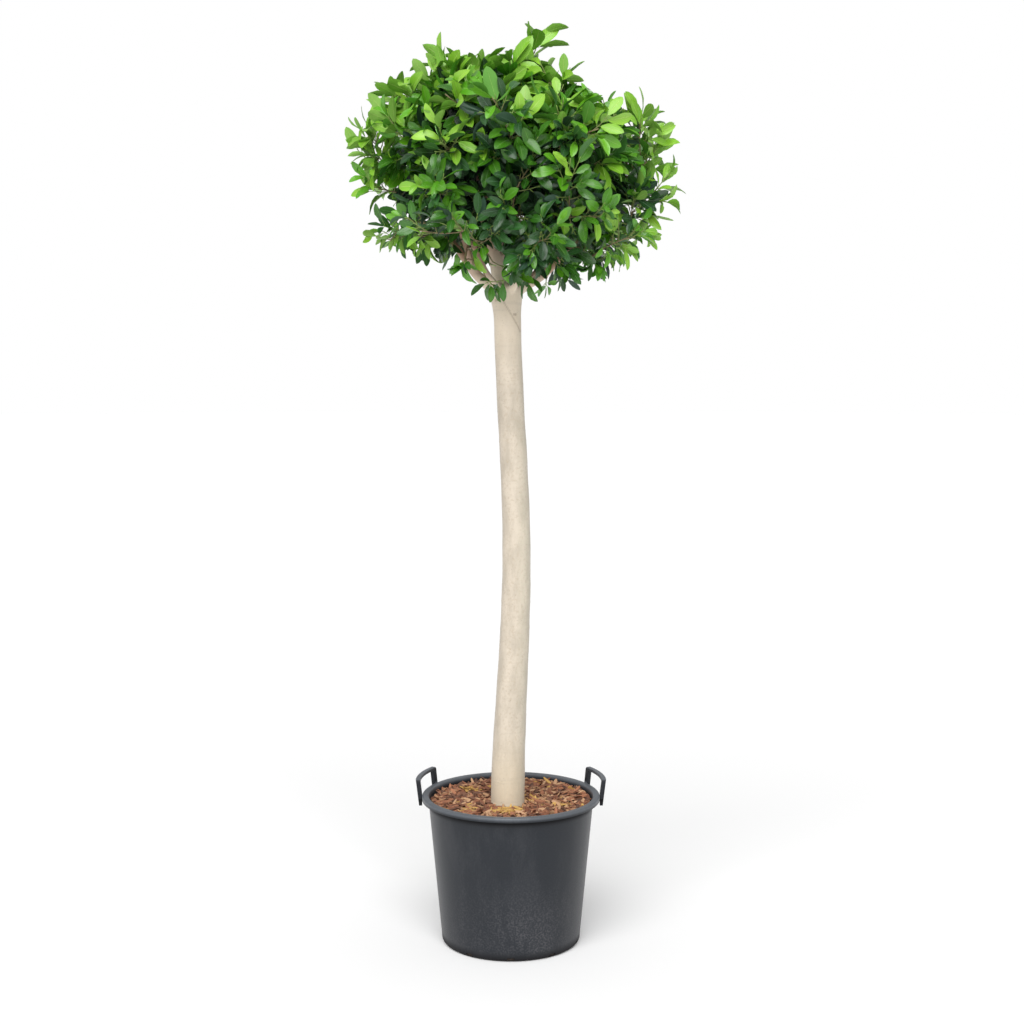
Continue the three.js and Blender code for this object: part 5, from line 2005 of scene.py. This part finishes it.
@dataclass
class Limbs:
    """Trunk and boughs as one body of bark."""

    skeleton: Skeleton
    voxel: float = 3.2
    smoothing: int = 5
    bough_rings: int = 26
    bough_sides: int = 14
    seed: int = 57
    inner_start: float = 30
    inner_full: float = 150
    inner_heights: Pair = (-60, 20)
    inner_share: float = 0.85
    flat_foot: float = 2

    def build(self, finish: Material) -> None:
        """Fuses the trunk's and the boughs' tubes, smooths the forks and carves the bark.

        Args:
            finish: The bark.
        """
        shapes = [self.skeleton.trunk.shape(), *[self.bough_shape(bough) for bough in self.skeleton.boughs]]
        offsets = np.cumsum([0, *[len(shape.places) for shape in shapes]])
        faces = [[corner + int(offset) for corner in face]
                 for shape, offset in zip(shapes, offsets) for face in shape.faces]
        body = Shape(np.vstack([shape.places for shape in shapes]), faces)
        thing = add_object("bark_body", body.mesh("bark_body"))
        fuse = thing.modifiers.new("fuse", "REMESH")
        fuse.mode = "VOXEL"
        fuse.voxel_size = self.voxel * MM
        fuse.use_smooth_shade = True
        smooth = thing.modifiers.new("smooth", "SMOOTH")
        smooth.iterations = self.smoothing
        mesh = with_modifiers_applied(thing)
        self.carve(mesh)
        nodes = ["trunk", *[bough.name for bough in self.skeleton.boughs]]
        add_piece("trunk_and_boughs", mesh, Slot.BARK, nodes, finish)

    def bough_shape(self, bough: Bough) -> Shape:
        """A bough's tube: rings along its line, with its own taper."""
        share = np.linspace(0, 1, self.bough_rings)
        return tubes(bough.at(share)[None], bough.radius(share)[None], self.bough_sides)

    def carve(self, mesh: Mesh) -> None:
        """Moves the bark in and out by its relief, but for its flat foot, and marks scars and boughs."""
        trunk = self.skeleton.trunk
        places = mesh_places(mesh)
        normals = np.empty(3 * len(places), np.float32)
        mesh.vertex_normals.foreach_get("vector", normals)
        away = np.linalg.norm(places - trunk.centre(np.array([trunk.fork]))[0], axis=1)
        low, high = self.inner_heights
        above = ease(places[:, 2], trunk.fork + low, trunk.fork + high)
        inner = ease(away, self.inner_start, self.inner_full) * above
        relief = trunk.relief(places, inner, np.random.default_rng(self.seed))
        moving = np.where(places[:, 2] < trunk.foot + self.flat_foot, 0, relief)
        moved = places + normals.reshape(-1, 3) * moving[:, None]
        mesh.vertices.foreach_set("co", (moved * MM).astype(np.float32).ravel())
        mark_corners(mesh, {"scar": trunk.scars(places), "inner": inner * self.inner_share})
        mesh.update()


@dataclass
class Studio:
    """Plain pale floor, soft light, and the photo's camera."""

    distance: float = 4570
    height: float = 1652
    side: float = 3
    pitch: float = 5.56
    focal: float = 58.64
    sensor: float = 36
    farthest: float = 200
    floor_radius: float = 40000
    floor_sides: int = 64
    floor_colour: Colour = rgb(0.89, 0.89, 0.89)
    background: float = 1.0
    sky: float = 0.5
    sun: float = 3.4
    sun_turn: Pair = (50, -8)
    sun_spread: float = 60

    def build(self) -> None:
        """Sets up the camera, the light all round, a soft key light and the floor."""
        self.build_camera()
        self.build_sky()
        self.build_sun()
        self.build_floor()

    def build_camera(self) -> None:
        """A camera that looks level along +Y, pitched down a little."""
        camera = bpy.data.cameras.new("camera")
        camera.lens = self.focal
        camera.sensor_width = self.sensor
        camera.clip_end = self.farthest
        holder = add_object("camera", camera)
        holder.location = np.array([self.side, -self.distance, self.height]) * MM
        holder.rotation_euler = (np.radians(90 - self.pitch), 0, 0)
        bpy.context.scene.camera = holder

    def build_sky(self) -> None:
        """An even white light from everywhere, in front of a white background."""
        world = bpy.data.worlds.new("studio")
        world.use_nodes = True
        light = world.node_tree.nodes["Background"]
        light.inputs["Color"].default_value = rgb(1.0, 1.0, 1.0)
        graph = Graph(world.node_tree)
        seen = graph.add("LightPath").outputs["Is Camera Ray"]
        feed(graph, light, Strength=graph.line(seen, self.background - self.sky, self.sky))
        bpy.context.scene.world = world
        bpy.context.scene.view_settings.view_transform = "Standard"

    def build_sun(self) -> None:
        """A wide soft sun, high up in front and to the left."""
        light = bpy.data.lights.new("sun", "SUN")
        light.energy = self.sun
        light.angle = np.radians(self.sun_spread)
        holder = add_object("sun", light)
        holder.rotation_euler = (np.radians(self.sun_turn[0]), 0, np.radians(self.sun_turn[1]))

    def build_floor(self) -> None:
        """A wide level disc, which isn't part of the plant."""
        bearing = 360 * np.arange(self.floor_sides) / self.floor_sides
        places = on_circle(bearing, self.floor_radius, 0.0)
        floor = add_object("floor", Shape(places, [list(range(self.floor_sides))]).mesh("floor"))
        material, _, _ = new_material("floor", Base_Color=self.floor_colour, Roughness=0.9)
        floor.data.materials.append(material)


SOIL_FINISH = EarthFinish("potting_soil", rgb(0.008, 0.006, 0.005), rgb(0.026, 0.018, 0.013))
BED_FINISH = EarthFinish("mulch_bed", rgb(0.02, 0.009, 0.005), rgb(0.10, 0.045, 0.022))
CHIP_FINISHES = [
    ChipFinish("chips_red", rgb(0.11, 0.030, 0.014), rgb(0.43, 0.185, 0.095), 0.47),
    ChipFinish("chips_brown", rgb(0.05, 0.018, 0.010), rgb(0.25, 0.115, 0.068), 0.27),
    ChipFinish("chips_tan", rgb(0.26, 0.12, 0.055), rgb(0.62, 0.38, 0.215), 0.24),
    ChipFinish("chips_yellow", rgb(0.34, 0.18, 0.040), rgb(0.69, 0.43, 0.13), 0.02),
]


def main() -> None:
    """Builds the studio, the pot, its filling and the tree."""
    logging.basicConfig(level=logging.INFO, format="%(name)s: %(message)s")
    Studio().build()
    plastic = PlasticFinish().material()
    pot = Pot()
    pot.build(plastic)
    Handle("pot_handle_right", 0, HANDLE_SPAN).build(plastic)
    Handle("pot_handle_left", 180 - HANDLE_SPAN, 180).build(plastic)
    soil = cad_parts["potting_soil"].data.materials
    soil.clear()
    soil.append(SOIL_FINISH.material())
    trunk = Trunk()
    mulch = Mulch()
    mulch.build_bed(pot, BED_FINISH.material())
    mulch.build_chips(pot, trunk, CHIP_FINISHES)
    skeleton = Skeleton(trunk)
    Limbs(skeleton).build(BarkFinish().material())
    Foliage(skeleton).build()


if __name__ == "__main__":
    main()
